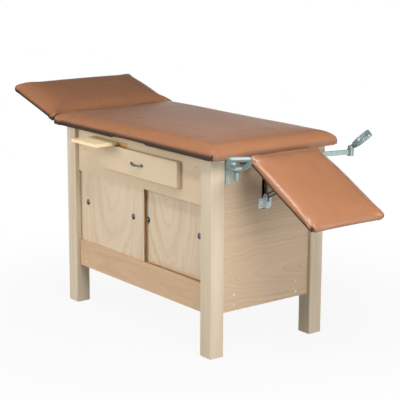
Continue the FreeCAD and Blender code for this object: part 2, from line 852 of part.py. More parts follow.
def main_top():
    left, right = "pad_wrap - main_head", "main_foot - pad_wrap"
    depth = "half_width - pad_wrap"
    level = ("top_height", "top_height + board_thick")
    board("main_board", left, right, f"-({depth})", depth, *level)
    low = "top_height + pad_lift"
    cushion("main_pad", "0 - main_head", "main_foot", "half_width", low, "pad_roll", *level, seam=-1)


def backrest():
    left, right = "pad_wrap - back_end", "0 - back_start - pad_wrap"
    depth = "half_width - pad_wrap"
    level = ("end_under", "end_under + end_board_thick")
    with_back(board("back_board", left, right, f"-({depth})", depth, *level))
    low = "end_under + pad_lift"
    ends = ("0 - back_end", "0 - back_start")
    with_back(cushion("back_pad", *ends, "half_width", low, "end_roll", *level, seam=1))


def foot_leaf():
    left, right = "leaf_start + pad_wrap", "leaf_end - pad_wrap"
    depth = "leaf_width / 2 - pad_wrap"
    level = ("end_under", "end_under + end_board_thick")
    with_leaf(board("leaf_board", left, right, f"-({depth})", depth, *level))
    low = "end_under + pad_lift"
    with_leaf(cushion("leaf_pad", "leaf_start", "leaf_end", "leaf_width / 2", low, "end_roll", *level))


# Seam hinges of the backrest
def seam_plate(label, side, moving):
    """One leaf of a seam hinge: a flange under its board, a plate up the seam and its knuckles."""
    body = piece(label)
    middle = f"{side} * back_hinge_spread"
    ends = (f"{middle} - back_hinge_length / 2", f"{middle} + back_hinge_length / 2")
    toward = -1 if moving else 1
    near = f"back_axis_x + {toward} * plate_clear / 2"
    far = f"{near} + {toward} * plate_thick"
    under = "end_under" if moving else "top_height"
    flange_end = f"{near} + {toward} * plate_flange"
    clear_top = "back_axis_z - knuckle_radius - plate_clear"
    grow(body, "Y", [[
        (near, f"{under} - flange_thick"),
        (flange_end, f"{under} - flange_thick"),
        (flange_end, under),
        (far, under),
        (far, clear_top),
        (near, clear_top),
    ]], *ends)
    if moving:
        knuckles = [(f"{middle} - knuckle_length / 2", f"{middle} + knuckle_length / 2")]
    else:
        start = "(knuckle_length / 2 + knuckle_gap)"
        knuckles = [(ends[0], f"{middle} - {start}"), (f"{middle} + {start}", ends[1])]
    for low, high in knuckles:
        root = rect(*((far, near) if moving else (near, far)), clear_top, "back_axis_z - knuckle_radius / 2")
        grow(body, "Y", [root], low, high)
        grow(body, "Y", [ring("back_axis_x", "back_axis_z", "knuckle_radius")], low, high)
        bore = "back_pin_radius + running_play" if moving else "back_pin_radius"
        cut(body, "Y", [ring("back_axis_x", "back_axis_z", bore)], low, high)
    return with_back(body) if moving else body


def back_hinge_pins():
    pins = [
        rod("back_hinge_pin", "Y", "back_axis_x", f"{side} * back_hinge_spread", "back_axis_z",
            "back_pin_radius", "back_hinge_length")
        for side in (-1, 1)
    ]
    group("back_hinge_pins", pins)


# Strap hinges of the foot leaf
def clevis_bracket(label, side):
    """A clevis on the foot end panel that holds the pin of one strap."""
    body = piece(label)
    middle = f"{side} * leaf_hinge_spread"
    ear = "strap_width / 2 + clevis_play"
    outer = f"{ear} + clevis_ear"
    plate_low = "leaf_axis_z + eye_radius - clevis_plate_height"
    plate = rect(f"{middle} - ({outer})", f"{middle} + {outer}", plate_low, "leaf_axis_z + eye_radius")
    grow(body, "X", [plate], "end_face", "end_face + clevis_plate")
    first = (f"{middle} - ({outer})", f"{middle} - ({ear})")
    second = (f"{middle} + {ear}", f"{middle} + {outer}")
    for low, high in (first, second):
        arm = rect("end_face", "leaf_axis_x", "leaf_axis_z - eye_radius", "leaf_axis_z + eye_radius")
        grow(body, "Y", [arm], low, high)
        grow(body, "Y", [ring("leaf_axis_x", "leaf_axis_z", "eye_radius")], low, high)
        cut(body, "Y", [ring("leaf_axis_x", "leaf_axis_z", "leaf_pin_radius")], low, high)


def leaf_hinge_pins():
    length = "strap_width + 2 * clevis_play + 2 * clevis_ear"
    pins = [
        rod("leaf_hinge_pin", "Y", "leaf_axis_x", f"{side} * leaf_hinge_spread", "leaf_axis_z",
            "leaf_pin_radius", length)
        for side in (-1, 1)
    ]
    group("leaf_hinge_pins", pins)


def leaf_strap(label, side):
    """A cranked steel strap from the hinge pin, past the end of the main pad, to under the leaf board."""
    body = piece(label)
    middle = f"{side} * leaf_hinge_spread"
    ends = (f"{middle} - strap_width / 2", f"{middle} + strap_width / 2")
    reach = "strap_rise + strap_reach"
    grow(body, "Y", [[
        ("leaf_axis_x", "leaf_axis_z - strap_thick / 2"),
        ("strap_rise + strap_thick", "leaf_axis_z - strap_thick / 2"),
        ("strap_rise + strap_thick", "end_under - strap_thick"),
        (reach, "end_under - strap_thick"),
        (reach, "end_under"),
        ("strap_rise", "end_under"),
        ("strap_rise", "leaf_axis_z + strap_thick / 2"),
        ("leaf_axis_x", "leaf_axis_z + strap_thick / 2"),
    ]], *ends)
    grow(body, "Y", [ring("leaf_axis_x", "leaf_axis_z", "eye_radius")], *ends)
    cut(body, "Y", [ring("leaf_axis_x", "leaf_axis_z", "leaf_pin_radius + running_play")], *ends)
    with_leaf(body)


# Stays
def stay_eye(label, flat_x):
    """A small clevis under a board with the cross pin of its stay."""
    body = piece(label)
    length = (f"{flat_x} - stay_eye_length / 2", f"{flat_x} + stay_eye_length / 2")
    plate = rect(*length, "stay_side - stay_eye_width / 2", "stay_side + stay_eye_width / 2")
    grow(body, "Z", [plate], "end_under - stay_eye_plate", "end_under")
    front, rear = "stay_side - stay_cheek_gap", "stay_side + stay_cheek_gap"
    outer_front, outer_rear = f"{front} - stay_cheek", f"{rear} + stay_cheek"
    for low, high in ((outer_front, front), (rear, outer_rear)):
        cheek = rect(f"{flat_x} - stay_depth / 2", f"{flat_x} + stay_depth / 2", "stay_eye_z", "end_under")
        grow(body, "Y", [cheek], low, high)
        grow(body, "Y", [ring(flat_x, "stay_eye_z", "stay_depth / 2")], low, high)
    grow(body, "Y", [ring(flat_x, "stay_eye_z", "stay_pin_radius")], outer_front, outer_rear)
    return body


def stay(label, toward, short, long, rest, eye_x, eye_z, turn):
    """A flat bar from the eye to past the catch pin, slotted so that the pin can run along it."""
    body = piece(label)
    sides = ("stay_side - stay_thick / 2", "stay_side + stay_thick / 2")
    half = "stay_depth / 2"
    tip = f"{long} + stay_tail"

    def spot(distance):
        return f"{toward} * ({distance})"

    def bar(start, end, low, high):
        points = [spot(start), spot(end)]
        return rect(*(points if toward > 0 else reversed(points)), low, high)

    grow(body, "Y", [bar("0", tip, f"-{half}", half)], *sides)
    grow(body, "Y", [ring("0", "0", half)], *sides)
    grow(body, "Y", [ring(spot(tip), "0", half)], *sides)
    cut(body, "Y", [ring("0", "0", "stay_pin_radius + running_play")], *sides)
    slot_half = "stay_pin_radius + stay_slot_play"
    cut(body, "Y", [bar(short, long, f"-({slot_half})", slot_half)], *sides)
    for end in (short, long):
        cut(body, "Y", [ring(spot(end), "0", slot_half)], *sides)
    for share in (0, 0.33, 0.67, 1):
        notch = f"{rest} + ({long} - {rest}) * {share}"
        cut(body, "Y", [ring(spot(notch), "stay_notch", slot_half)], *sides)
    rotation = f"rotation(vector(0; 1; 0); {turn})"
    body.setExpression("Placement", formula(f"placement(vector({eye_x}; 0; {eye_z}); {rotation})"))


def catch_bracket(label, side):
    """A folded bracket at the slot of an end panel that holds the catch pin between two cheeks."""
    body = piece(label)
    face, pin = f"{side} * end_face", f"{side} * catch_x"
    edge = f"{side} * catch_edge"

    def along(first, second):
        return (first, second) if side > 0 else (second, first)

    outer = "catch_gap + catch_cheek"
    for hand in (-1, 1):
        inner_y, outer_y = f"stay_side + {hand} * catch_gap", f"stay_side + {hand} * ({outer})"
        flange_y = f"stay_side + {hand} * ({outer} + catch_flange_width)"
        cheek = (inner_y, outer_y) if hand > 0 else (outer_y, inner_y)
        flange = (inner_y, flange_y) if hand > 0 else (flange_y, inner_y)
        grow(body, "Y", [rect(*along(face, edge), "catch_bottom", "catch_height")], *cheek)
        grow(body, "Y", [ring(pin, "catch_height", "catch_radius")], *cheek)
        cut(body, "Y", [ring(pin, "catch_height", "stay_pin_radius")], *cheek)
        plate_levels = along(face, f"{side} * (end_face + catch_flange_thick)")
        grow(body, "X", [rect(*flange, "catch_bottom", "catch_flange_top")], *plate_levels)
        if hand < 0:
            web_inner = f"{side} * (catch_edge - catch_flange_thick)"
            sides = (f"stay_side - ({outer})", f"stay_side + {outer}")
            web = rect(*sides, "catch_bottom", "catch_bottom + catch_web")
            grow(body, "X", [web], *along(web_inner, edge))


def catch_pins():
    length = "2 * catch_gap + 2 * catch_cheek"
    pins = [
        rod("catch_pin", "Y", f"{side} * catch_x", "stay_side", "catch_height", "stay_pin_radius", length)
        for side in (-1, 1)
    ]
    group("catch_pins", pins)


# Stirrups
def stirrup_bracket(label, side):
    """An upright strap on the foot end panel with two ears that hold the arm's pin."""
    body = piece(label)
    middle = f"{side} * stirrup_spread"
    ends = (f"{middle} - bracket_width / 2", f"{middle} + bracket_width / 2")
    grow(body, "X", [rect(*ends, "bracket_bottom", "bracket_top")], "end_face", "end_face + bracket_thick")
    for low, high in (
        ("stirrup_height - ear_gap / 2 - ear_thick", "stirrup_height - ear_gap / 2"),
        ("stirrup_height + ear_gap / 2", "stirrup_height + ear_gap / 2 + ear_thick"),
    ):
        grow(body, "Z", [rect("end_face", "stirrup_x", *ends)], low, high)
        grow(body, "Z", [ring("stirrup_x", middle, "bracket_width / 2")], low, high)
        cut(body, "Z", [ring("stirrup_x", middle, "stirrup_pin_radius")], low, high)


def stirrup_pins():
    pins = [
        rod("stirrup_pin", "Z", "stirrup_x", f"{side} * stirrup_spread", "stirrup_height",
            "stirrup_pin_radius", "ear_gap + 2 * ear_thick")
        for side in (-1, 1)
    ]
    group("stirrup_pins", pins)


def swing_to(body, side, swing, reach, heading):
    """Stands a stirrup piece on its bracket, or at the end of its arm, turned to its heading."""
    x = f"stirrup_x + {reach} * cos({swing})"
    y = f"{side} * (stirrup_spread + {reach} * sin({swing}))"
    turn = f"rotation(vector(0; 0; 1); {side} * {heading})"
    body.setExpression("Placement", formula(f"placement(vector({x}; {y}; 0); {turn})"))


def stirrup_arm(label, side, swing):
    """A bar with a pivot eye at the bracket and an upright hub for the foot loop."""
    body = piece(label)
    eye = ("stirrup_height - arm_eye_height / 2", "stirrup_height + arm_eye_height / 2")
    grow(body, "Z", [ring("0", "0", "bracket_width / 2")], *eye)
    bar = rect("0", "arm_length", "-arm_thick / 2", "arm_thick / 2")
    grow(body, "Z", [bar], "stirrup_height - arm_height / 2", "stirrup_height + arm_height / 2")
    grow(body, "Z", [ring("arm_length", "0", "hub_radius")], "hub_bottom", "hub_top")
    cut(body, "Z", [ring("0", "0", "stirrup_pin_radius + running_play")], *eye)
    cut(body, "Z", [ring("arm_length", "0", "spigot_radius + running_play")], "hub_bottom", "hub_top")
    swing_to(body, side, swing, "0", swing)


def stirrup_loop(label, side, swing, heading):
    """A cast foot loop, leaning outwards from a spigot that turns in the hub."""
    body = piece(label)
    bow_top = "loop_bow + loop_radius"
    tread_top = f"{bow_top} + loop_tread"
    edge, bend = "loop_radius", "loop_corner"
    outer = [
        ("0", "loop_bow", "loop_radius", 1),
        (edge, bow_top),
        (edge, f"{tread_top} - {bend}", bend, 1),
        (f"{edge} - {bend}", tread_top),
        (f"{bend} - {edge}", tread_top, bend, 1),
        (f"-{edge}", f"{tread_top} - {bend}"),
        (f"-{edge}", bow_top, "loop_radius", 1),
    ]
    opening = [
        ("0", f"{bow_top} - loop_bore_radius", "loop_bore_radius", 1),
        ("loop_bore_radius", bow_top),
        ("loop_bore_radius", f"{bow_top} + loop_bore_side"),
        ("-loop_bore_radius", f"{bow_top} + loop_bore_side"),
        ("-loop_bore_radius", bow_top, "loop_bore_radius", 1),
    ]
    lean = "placement(vector(0; collar_bottom + loop_rise; 0); rotation(vector(1; 0; 0); loop_lean_angle))"
    bow = sketch_on(body, "X", [outer, opening])
    bow.setExpression("AttachmentOffset", formula(lean))
    feature("Pad", body, bow, "loop_thick")
    ease(body, "Fillet", "loop_round", lambda edge: abs(edge.tangentAt(edge.FirstParameter).y) > 1e-6
         or not isinstance(edge.Curve, Part.Line))
    root = rect("-loop_stem / 2", "loop_stem / 2", "loop_start", "loop_bow + loop_round * 2")
    stem = sketch_on(body, "X", [root])
    stem.setExpression("AttachmentOffset", formula(lean))
    feature("Pad", body, stem, "loop_thick")
    grow(body, "Z", [ring("0", "0", "collar_radius")], "collar_bottom", "collar_bottom + collar_height")
    grow(body, "Z", [ring("0", "0", "spigot_radius")], "hub_bottom", "collar_bottom")
    swing_to(body, side, swing, "arm_length", heading)


def build():
    for end, side_x in (("head", -1), ("foot", 1)):
        for face, side_y in (("front", -1), ("rear", 1)):
            leg(f"leg_{face}_{end}", side_x, side_y)
        end_panel(f"end_panel_{end}", side_x)
        catch_bracket(f"catch_bracket_{end}", side_x)
    front_rail()
    front_apron()
    back_panel()
    cabinet_floor()
    corner_blocks()
    frame_screws()
    door_track("door_track_bottom", "floor_top", "apron_top", "apron_top - low_groove", "apron_top")
    high_groove = ("rail_bottom", "rail_bottom + high_groove")
    door_track("door_track_top", "rail_bottom", "rail_bottom + high_track_height", *high_groove)
    for hand, side, groove in (("left", -1, "groove_one"), ("right", 1, "groove_two")):
        door(f"door_{hand}", side, groove)
        finger_cups(f"finger_cups_{hand}", side, groove)
        drawer_runner(f"drawer_runner_{hand}", side)
        shelf_guide(f"shelf_guide_{hand}", side)
    drawer()
    drawer_pull()
    pull_out_shelf()
    main_top()
    backrest()
    foot_leaf()
    for face, side in (("front", -1), ("rear", 1)):
        seam_plate(f"back_hinge_fixed_{face}", side, False)
        seam_plate(f"back_hinge_moving_{face}", side, True)
        clevis_bracket(f"leaf_hinge_bracket_{face}", side)
        leaf_strap(f"leaf_hinge_strap_{face}", side)
        stirrup_bracket(f"stirrup_bracket_{face}", side)
    back_hinge_pins()
    leaf_hinge_pins()
    catch_pins()
    stirrup_pins()
    with_back(stay_eye("back_stay_eye", "back_axis_x - back_eye_reach"))
    with_leaf(stay_eye("leaf_stay_eye", "leaf_axis_x + leaf_eye_reach"))
    back_rest_span = "2 * back_arm * sin((back_angle + back_tilt_angle) / 2)"
    stay("back_stay", 1, "back_span_short", "back_span_long", back_rest_span,
         "back_eye_x", "back_eye_z", "back_stay_slope")
    leaf_rest_span = "2 * leaf_arm * sin((leaf_angle - leaf_drop_angle) / 2)"
    stay("leaf_stay", -1, "leaf_span_short", "leaf_span_long", leaf_rest_span,
         "leaf_eye_x", "leaf_eye_z", "0 - leaf_stay_slope")
    for face, side in (("front", -1), ("rear", 1)):
        swing, heading = f"{face}_swing_angle", f"{face}_loop_angle"
        stirrup_arm(f"stirrup_arm_{face}", side, swing)
        stirrup_loop(f"stirrup_loop_{face}", side, swing, heading)


def check():
    for item in doc.Objects:
        if "Invalid" in item.State or "Error" in item.State:
            raise RuntimeError(f"{item.Label} failed: {item.State}")
    for node in nodes:
        if node.Shape.isNull() or not node.Shape.isValid():
            raise RuntimeError(f"{node.Label} has no valid shape")


def export():
    os.makedirs("parts", exist_ok=True)
    for node in nodes:
        node.Shape.exportStep(f"parts/{node.Label}.step")
        print(node.Label, len(node.Shape.Solids), "solids", round(node.Shape.Volume), "mm3")
    print(len(nodes), "nodes")


build()
doc.recompute()
check()
export()
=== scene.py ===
import json
import math

import bmesh
import bpy
from mathutils import Matrix, Vector


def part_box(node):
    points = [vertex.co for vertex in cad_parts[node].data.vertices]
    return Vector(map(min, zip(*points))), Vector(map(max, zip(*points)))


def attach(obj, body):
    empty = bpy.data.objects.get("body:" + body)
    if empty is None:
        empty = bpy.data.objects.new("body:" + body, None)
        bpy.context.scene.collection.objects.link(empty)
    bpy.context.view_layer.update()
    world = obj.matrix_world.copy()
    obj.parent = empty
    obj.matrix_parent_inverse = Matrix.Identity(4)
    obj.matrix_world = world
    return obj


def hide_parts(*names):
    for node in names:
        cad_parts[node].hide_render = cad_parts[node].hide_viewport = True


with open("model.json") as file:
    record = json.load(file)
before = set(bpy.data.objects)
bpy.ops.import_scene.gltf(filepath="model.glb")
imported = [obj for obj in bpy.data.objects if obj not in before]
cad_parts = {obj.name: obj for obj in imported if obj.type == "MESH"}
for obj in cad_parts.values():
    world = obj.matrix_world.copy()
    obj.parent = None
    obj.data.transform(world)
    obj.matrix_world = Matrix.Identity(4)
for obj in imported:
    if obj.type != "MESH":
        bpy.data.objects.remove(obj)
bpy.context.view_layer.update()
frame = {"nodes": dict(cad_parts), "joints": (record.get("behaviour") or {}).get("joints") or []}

bl_info = {
    "name": "Examination table",
    "version": (1, 0, 0),
    "blender": (4, 5, 0),
    "location": "View3D > Sidebar > Table",
    "description": "Finishes and soft parts of a wooden examination table, built around its solid model",
    "category": "Object",
}

JOINTS = {joint["name"]: joint for joint in frame["joints"]}
AXES = {"X": 0, "Y": 1, "Z": 2}
WHITE = (1.0, 1.0, 1.0, 1.0)

# Lamps: where each stands, what it points at, its width and height, and whether it shows in glosses
LAMPS = {
    "key": ((1.8, -0.45, 2.0), (0.45, 0.0, 0.65), (1.0, 1.1), True),
    "side": ((3.2, 0.3, 0.8), (0.45, 0.1, 0.4), (2.4, 1.3), True),
    "fill": ((-1.4, -2.9, 1.5), (-0.2, -0.2, 0.5), (1.7, 1.7), False),
    "top": ((0.5, -0.95, 2.1), (0.65, -0.15, 0.6), (0.6, 0.16), True),
    "front": ((2.4, -3.2, 1.5), (0.1, 0.0, 0.55), (1.2, 1.2), False),
}
SENSOR_WIDTH = 36.0

# The floor: half its width, and where its shadow fades into the white round it
FLOOR_REACH = 14.0
SHADOW_FADE = (0.5, 1.6)
SHADOW_SHARE = 0.08
# How far up the backdrop stays white, as the upward part of a direction
WALL_FADE = (0.0, 0.3)

# Cycles per metre of patterns that are drawn out: across the grain, then along it
BROAD_STREAKS = (16.0, 1.3)
THIN_STREAKS = (90.0, 2.2)
PORES = (420.0, 9.0)
BLUSH = (2.6, 2.6)
SLOW_DRIFT = (4.0, 2.5)
SHIVER = (30.0, 12.0)
FIGURE_STRENGTH = (6.0, 6.0)
BRUSH_LINES = (900.0, 6.0)
RUB_MARKS = (14.0, 3.0)

# Arches of the sliced veneers: lengths are metres, and depth is how dark the lines are
APRON_ARCHES = dict(
    across="Z", middle=0.205, start=0.1, slope=0.08, width=0.03, spacing=0.008, depth=0.4, wander=0.005
)
END_ARCHES = dict(
    across="Z", middle=0.276, start=-0.24, slope=0.42, width=0.06, spacing=0.0085, depth=0.5, wander=0.014
)
BACK_ARCHES = dict(
    across="Z", middle=0.43, start=0.0, slope=0.3, width=0.1, spacing=0.014, depth=0.5, wander=0.01
)
DOOR_ARCHES = dict(
    across="X", start=0.3, slope=0.75, width=0.13, spacing=0.042, depth=-0.75, wander=0.05, crisp=0.22
)
# How round the point of an arch is
ARCH_POINT = 0.02

# Thickness of a ply where a sawn edge shows
PANEL_PLY, BOARD_PLY, DOOR_PLY = 0.0027, 0.0025, 0.0021

# The pads: body, hinge joint, turn at rest, plumpness, the end that meets the next pad (-1 head, 1 foot,
# 0 none), how much the far edges grow in length, width and height, and the height of the painted shade band
PADS = (
    ("main", "cabinet", None, 0.0, 0.85, -1, (0.0, 0.0, 0.0), 0.024),
    ("back", "backrest", "backrest_tilt", math.radians(15.7), 1.2, 1, (0.0, 0.002, 0.005), 0.017),
    ("leaf", "leaf", "leaf_drop", math.radians(28.8), 0.95, 0, (0.012, 0.007, 0.0), 0.011),
)
# Foam that is held while a cover swells: over the board, inside the wall round it, and along the rim
SEAT_GAP, FOAM_WALL, HELD_RIM = 0.003, 0.009, 0.006
WELD_GAP = 0.00002
CLOTH_FRAMES = 20
# Part of the height over which a pad's shoulder begins, and how far in the crown is reached
SHOULDER = (0.45, 0.8)
CROWN_REACH = 0.05
# The rim under a cover: how far in it goes, how far down it is drawn, and where that fades in height
RIM, RIM_DROP, RIM_FADE = 0.014, 0.006, (0.1, 0.5)
# Corners made square where pads meet: reach in the plan, reach of the leaf's hinge edge, and sharpness
SEAM_REACH, HINGE_REACH, SHARPNESS = 0.045, 0.024, 7
# Where the growth of the far edges starts and is full, as shares of a pad's sizes
GROWTH_ACROSS, GROWTH_START, GROWTH_ALONG, GROWTH_UP = (0.2, 1.0), (0.1, 0.5), (0.4, 1.0), (0.3, 1.0)
# Folds: darts at a corner, the pitch of the staples, and where both fade in height
DART_REACH, DART_WIDTH, DARTS = 0.0256, 0.0036, (-0.0065, 0.0065)
STAPLE_PITCH = 0.036
FOLD_FADE = (0.25, 0.85)

# Screws of the frame: out from the middle, and the heights of their rows
LONG_SCREWS, END_SCREWS = 0.356, 0.1475
LOW_ROWS, HIGH_ROWS = (0.177, 0.217), (0.635, 0.675)
# Plates of the catches and brackets: thickness, and holes from the middle and the lower edge
CATCH_PLATE, CATCH_HALF, CATCH_ROWS = 0.003, 0.0187, (0.007, 0.028)
BRACKET_PLATE, BRACKET_ROWS = 0.005, (0.011, 0.030)
# Heads of the screws and bolts: radius and height
FRAME_HEAD, CATCH_HEAD, BOLT_HEAD = (0.0045, 0.0021), (0.0038, 0.0016), (0.0046, 0.0026)
# A cross slot, in shares of the radius: where an arm's side and its end slope down, and its depth
SLOT_SIDE, SLOT_END, SLOT_DEPTH = (0.14, 0.24), (0.5, 0.62), 0.6
HEAD_TURN = 1.1

# Finger cups: radius of the solid cup, its back, and the bowl behind the lip
CUP_RADIUS, CUP_NECK, CUP_BACK = 0.012, 0.0094, -0.0058
BOWL_RADIUS, BOWL_FLOOR, BOWL_START = 0.0086, -0.0050, -0.0004
# The rolled lip, as radius and height over the door, from outside to inside
CUP_LIP = [
    (0.0119, 0.0), (0.0121, 0.0005), (0.0117, 0.0010), (0.0110, 0.0013),
    (0.0101, 0.0012), (0.0094, 0.0006), (0.0089, -0.0003),
]

# The bow of the pull: half its length, how far it stands out, and half the height and depth of its bar
BOW_HALF, BOW_OUT, BOW_LIFT = 0.0335, 0.0165, 0.0004
BAR_TALL, BAR_DEEP = 0.0026, 0.0016
# What the middle adds to the bar's height, and each bead to its height and depth
MIDDLE_TALL, BEAD_TALL, BEAD_DEEP, BEAD_PLACE = 0.0030, 0.0006, 0.0007, 0.42
# A foot of the pull: out from the middle, half its length and width, its rib's rise and its edge
FOOT_PLACE, FOOT_HALF, FOOT_WIDTH, FOOT_RIB, FOOT_EDGE = 0.0315, 0.0115, 0.0062, 0.0024, 0.0006
# How near a foot's ends come to a point, and how far its sole is let in
FOOT_END, SOLE_DEPTH, SOLE_SHARE = 0.985, 0.0003, 0.96


# Shader helpers
class Tone:
    """A number that changes over a surface. Sums and products of tones add Math nodes."""

    def __init__(self, finish, socket):
        self.finish = finish
        self.socket = socket

    def maths(self, operation, first, second=0.0):
        return self.finish.node("ShaderNodeMath", {"operation": operation}, {0: first, 1: second})

    def __add__(self, other):
        return self.maths("ADD", self, other)

    def __sub__(self, other):
        return self.maths("SUBTRACT", self, other)

    def __rsub__(self, other):
        return self.maths("SUBTRACT", other, self)

    def __mul__(self, other):
        return self.maths("MULTIPLY", self, other)

    def __truediv__(self, other):
        return self.maths("DIVIDE", self, other)

    def __pow__(self, other):
        return self.maths("POWER", self, other)

    def __abs__(self):
        return self.maths("ABSOLUTE", self)

    def exponential(self):
        return self.maths("EXPONENT", self)

    def part(self):
        """What is left after the whole number."""
        return self.maths("FRACT", self)

    def swing(self):
        """A tone from 0 to 1, moved to lie evenly about 0."""
        return self - 0.5

    def eased(self, low, high):
        """0 below low, 1 above high and smooth between them."""
        settings = {"interpolation_type": "SMOOTHSTEP"}
        return self.finish.node("ShaderNodeMapRange", settings, {0: self, 1: low, 2: high, 3: 0.0, 4: 1.0})


class Finish:
    """A material, its main shader and the means to add nodes to it."""

    def __init__(self, name, **constants):
        self.material = bpy.data.materials.new(name)
        self.material.use_nodes = True
        self.tree = self.material.node_tree
        self.shader = self.tree.nodes["Principled BSDF"]
        for socket, value in constants.items():
            self.shader.inputs[socket.replace("_", " ")].default_value = value

    def node(self, kind, settings, sockets, out=0):
        """Adds a node: its settings first, then its socket values or links. Returns an output as a tone."""
        made = self.tree.nodes.new(kind)
        for name, setting in settings.items():
            if name == "stops":
                fill_ramp(made.color_ramp, setting)
            else:
                setattr(made, name, setting)
        for key, content in sockets.items():
            if isinstance(content, Tone):
                self.tree.links.new(content.socket, made.inputs[key])
            else:
                made.inputs[key].default_value = content
        return Tone(self, made.outputs[out])

    def give(self, **sockets):
        """Links tones to sockets of the main shader."""
        for name, tone in sockets.items():
            self.tree.links.new(tone.socket, self.shader.inputs[name.replace("_", " ")])

    def places(self):
        """Where a point is on the part at rest, in metres."""
        return self.node("ShaderNodeTexCoord", {}, {}, "Object")

    def facing(self):
        """Which way the surface looks."""
        return self.node("ShaderNodeTexCoord", {}, {}, "Normal")

    def split(self, vector):
        return [self.node("ShaderNodeSeparateXYZ", {}, {0: vector}, axis) for axis in range(3)]

    def join(self, x, y, z):
        return self.node("ShaderNodeCombineXYZ", {}, {0: x, 1: y, 2: z})

    def stretched(self, vector, factors, shift=(0.0, 0.0, 0.0)):
        settings = {"operation": "MULTIPLY_ADD"}
        return self.node("ShaderNodeVectorMath", settings, {0: vector, 1: factors, 2: shift})

    def clouds(self, vector, scale, detail=2.0, roughness=0.5):
        """Soft random patches from 0 to 1."""
        sockets = {"Vector": vector, "Scale": scale, "Detail": detail, "Roughness": roughness}
        return self.node("ShaderNodeTexNoise", {}, sockets, "Fac")

    def grain(self, vector, axis, cycles, detail=2.0, roughness=0.5):
        """Clouds drawn out along an axis, with so many cycles per metre across it and along it."""
        across, along = cycles
        factors = [across] * 3
        factors[axis] = along
        return self.clouds(self.stretched(vector, tuple(factors)), 1.0, detail, roughness)

    def cells(self, vector, scale, feature="F1"):
        """Distance from the middle, or to the edge, of random cells."""
        sockets = {"Vector": vector, "Scale": scale}
        return self.node("ShaderNodeTexVoronoi", {"feature": feature}, sockets, "Distance")

    def mix(self, share, first, second):
        settings = {"data_type": "RGBA", "clamp_factor": True}
        return self.node("ShaderNodeMix", settings, {0: share, 6: first, 7: second}, 2)

    def ramp(self, tone, stops):
        return self.node("ShaderNodeValToRGB", {"stops": stops}, {0: tone})

    def bump(self, height, strength, distance):
        sockets = {"Height": height, "Strength": strength, "Distance": distance}
        self.give(Normal=self.node("ShaderNodeBump", {}, sockets))

    def shown(self):
        """1 where the white of the stage is seen, also in a gloss, and 0 where it would light the part."""
        camera, gloss, glass = [
            self.node("ShaderNodeLightPath", {}, {}, f"Is {ray} Ray")
            for ray in ("Camera", "Glossy", "Transmission")
        ]
        return camera + gloss + glass


class Backdrop(Finish):
    """The wall round the stage, white at the floor and dim overhead."""

    def __init__(self, name):
        self.world = bpy.data.worlds.new(name)
        self.world.use_nodes = True
        self.tree = self.world.node_tree
        self.shader = self.tree.nodes["Background"]
        self.shader.inputs["Color"].default_value = WHITE


def fill_ramp(ramp, stops):
    while len(ramp.elements) < len(stops):
        ramp.elements.new(0.5)
    for element, (position, colour) in zip(ramp.elements, stops):
        element.position = position
        element.color = colour


def shade_of(colour, factor, warm=0.0):
    """A darker or lighter colour, turned towards red-yellow by warm."""
    red, green, blue = colour[:3]
    return (red * factor * (1 + warm), green * factor, blue * factor * (1 - warm), 1.0)


# Wood
def wood(name, colour, along, figure=None, streaks=0.5, warmth=0.12, shift=0.0, layers=None, polish=0.42):
    """Lacquered pale wood. Fibres run along an axis; figure adds the arches of a sliced veneer."""
    finish = Finish(name, Coat_Roughness=0.3, Specular_IOR_Level=0.4)
    place = finish.stretched(finish.places(), (1.0, 1.0, 1.0), (shift, shift * 0.7, shift * 1.3))
    axis = AXES[along]
    broad = finish.grain(place, axis, BROAD_STREAKS, 3.0, 0.55)
    thin = finish.grain(place, axis, THIN_STREAKS, 3.0, 0.6)
    pores = finish.grain(place, axis, PORES)
    blush = finish.grain(place, axis, BLUSH)
    depth = broad.swing() * 0.9 * streaks + thin.swing() * 0.55 * streaks + blush.swing() * 0.25
    if figure:
        depth = depth + growth_lines(finish, place, axis, **figure)
    light, dark = shade_of(colour, 1.08, -warmth * 0.3), shade_of(colour, 0.74, warmth)
    face = finish.ramp(depth + 0.5, [(0.0, light), (0.45, shade_of(colour, 1.0)), (1.0, dark)])
    pore_marks = pores.eased(0.62, 0.8) * 0.16 * streaks
    face = finish.mix(pore_marks, face, shade_of(colour, 0.55, warmth * 1.4))
    if layers:
        face = finish.mix(*veneer_edges(finish, *layers), face)
    finish.give(Base_Color=face, Roughness=thin * 0.16 + (polish - 0.06) + pores * 0.05)
    finish.give(Coat_Weight=0.18 - pore_marks)
    finish.bump(thin * 0.5 + pores * 0.5, 0.12, 0.0006)
    return finish.material


def growth_lines(
    finish, place, axis, across, middle, start, slope, width, spacing, depth, wander, crisp=0.14
):
    """Nested arches of a sliced veneer: blunt points along a middle line, straight fibres beside it."""
    parts = finish.split(finish.places())
    drift = finish.grain(place, axis, SLOW_DRIFT).swing()
    shiver = finish.grain(place, axis, SHIVER).swing()
    run = parts[axis] - start
    offset = parts[AXES[across]] - middle + drift * wander * 3.0
    squared = offset * offset
    heart = (squared * (-1.0 / (width * width))).exponential()
    reach = (squared + ARCH_POINT * ARCH_POINT) ** 0.5 - run * slope * heart + shiver * wander
    bands = finish.clouds(finish.join(reach / spacing, run * 0.8, drift), 1.0, 4.0, 0.68)
    lines = bands.eased(0.5 - crisp, 0.5 + crisp)
    strength = finish.grain(place, axis, FIGURE_STRENGTH, 1.0)
    return lines.swing() * (strength * 1.2 + 0.4) * depth


def veneer_edges(finish, axis, pitch, light, dark):
    """Where a board shows its face and not its sawn edge, and the colour of the plies at the edge."""
    face = abs(finish.split(finish.facing())[AXES[axis]])
    ply = (finish.split(finish.places())[AXES[axis]] / pitch).part().eased(0.4, 0.6)
    return face.eased(0.5, 0.7), finish.mix(ply, light, dark)


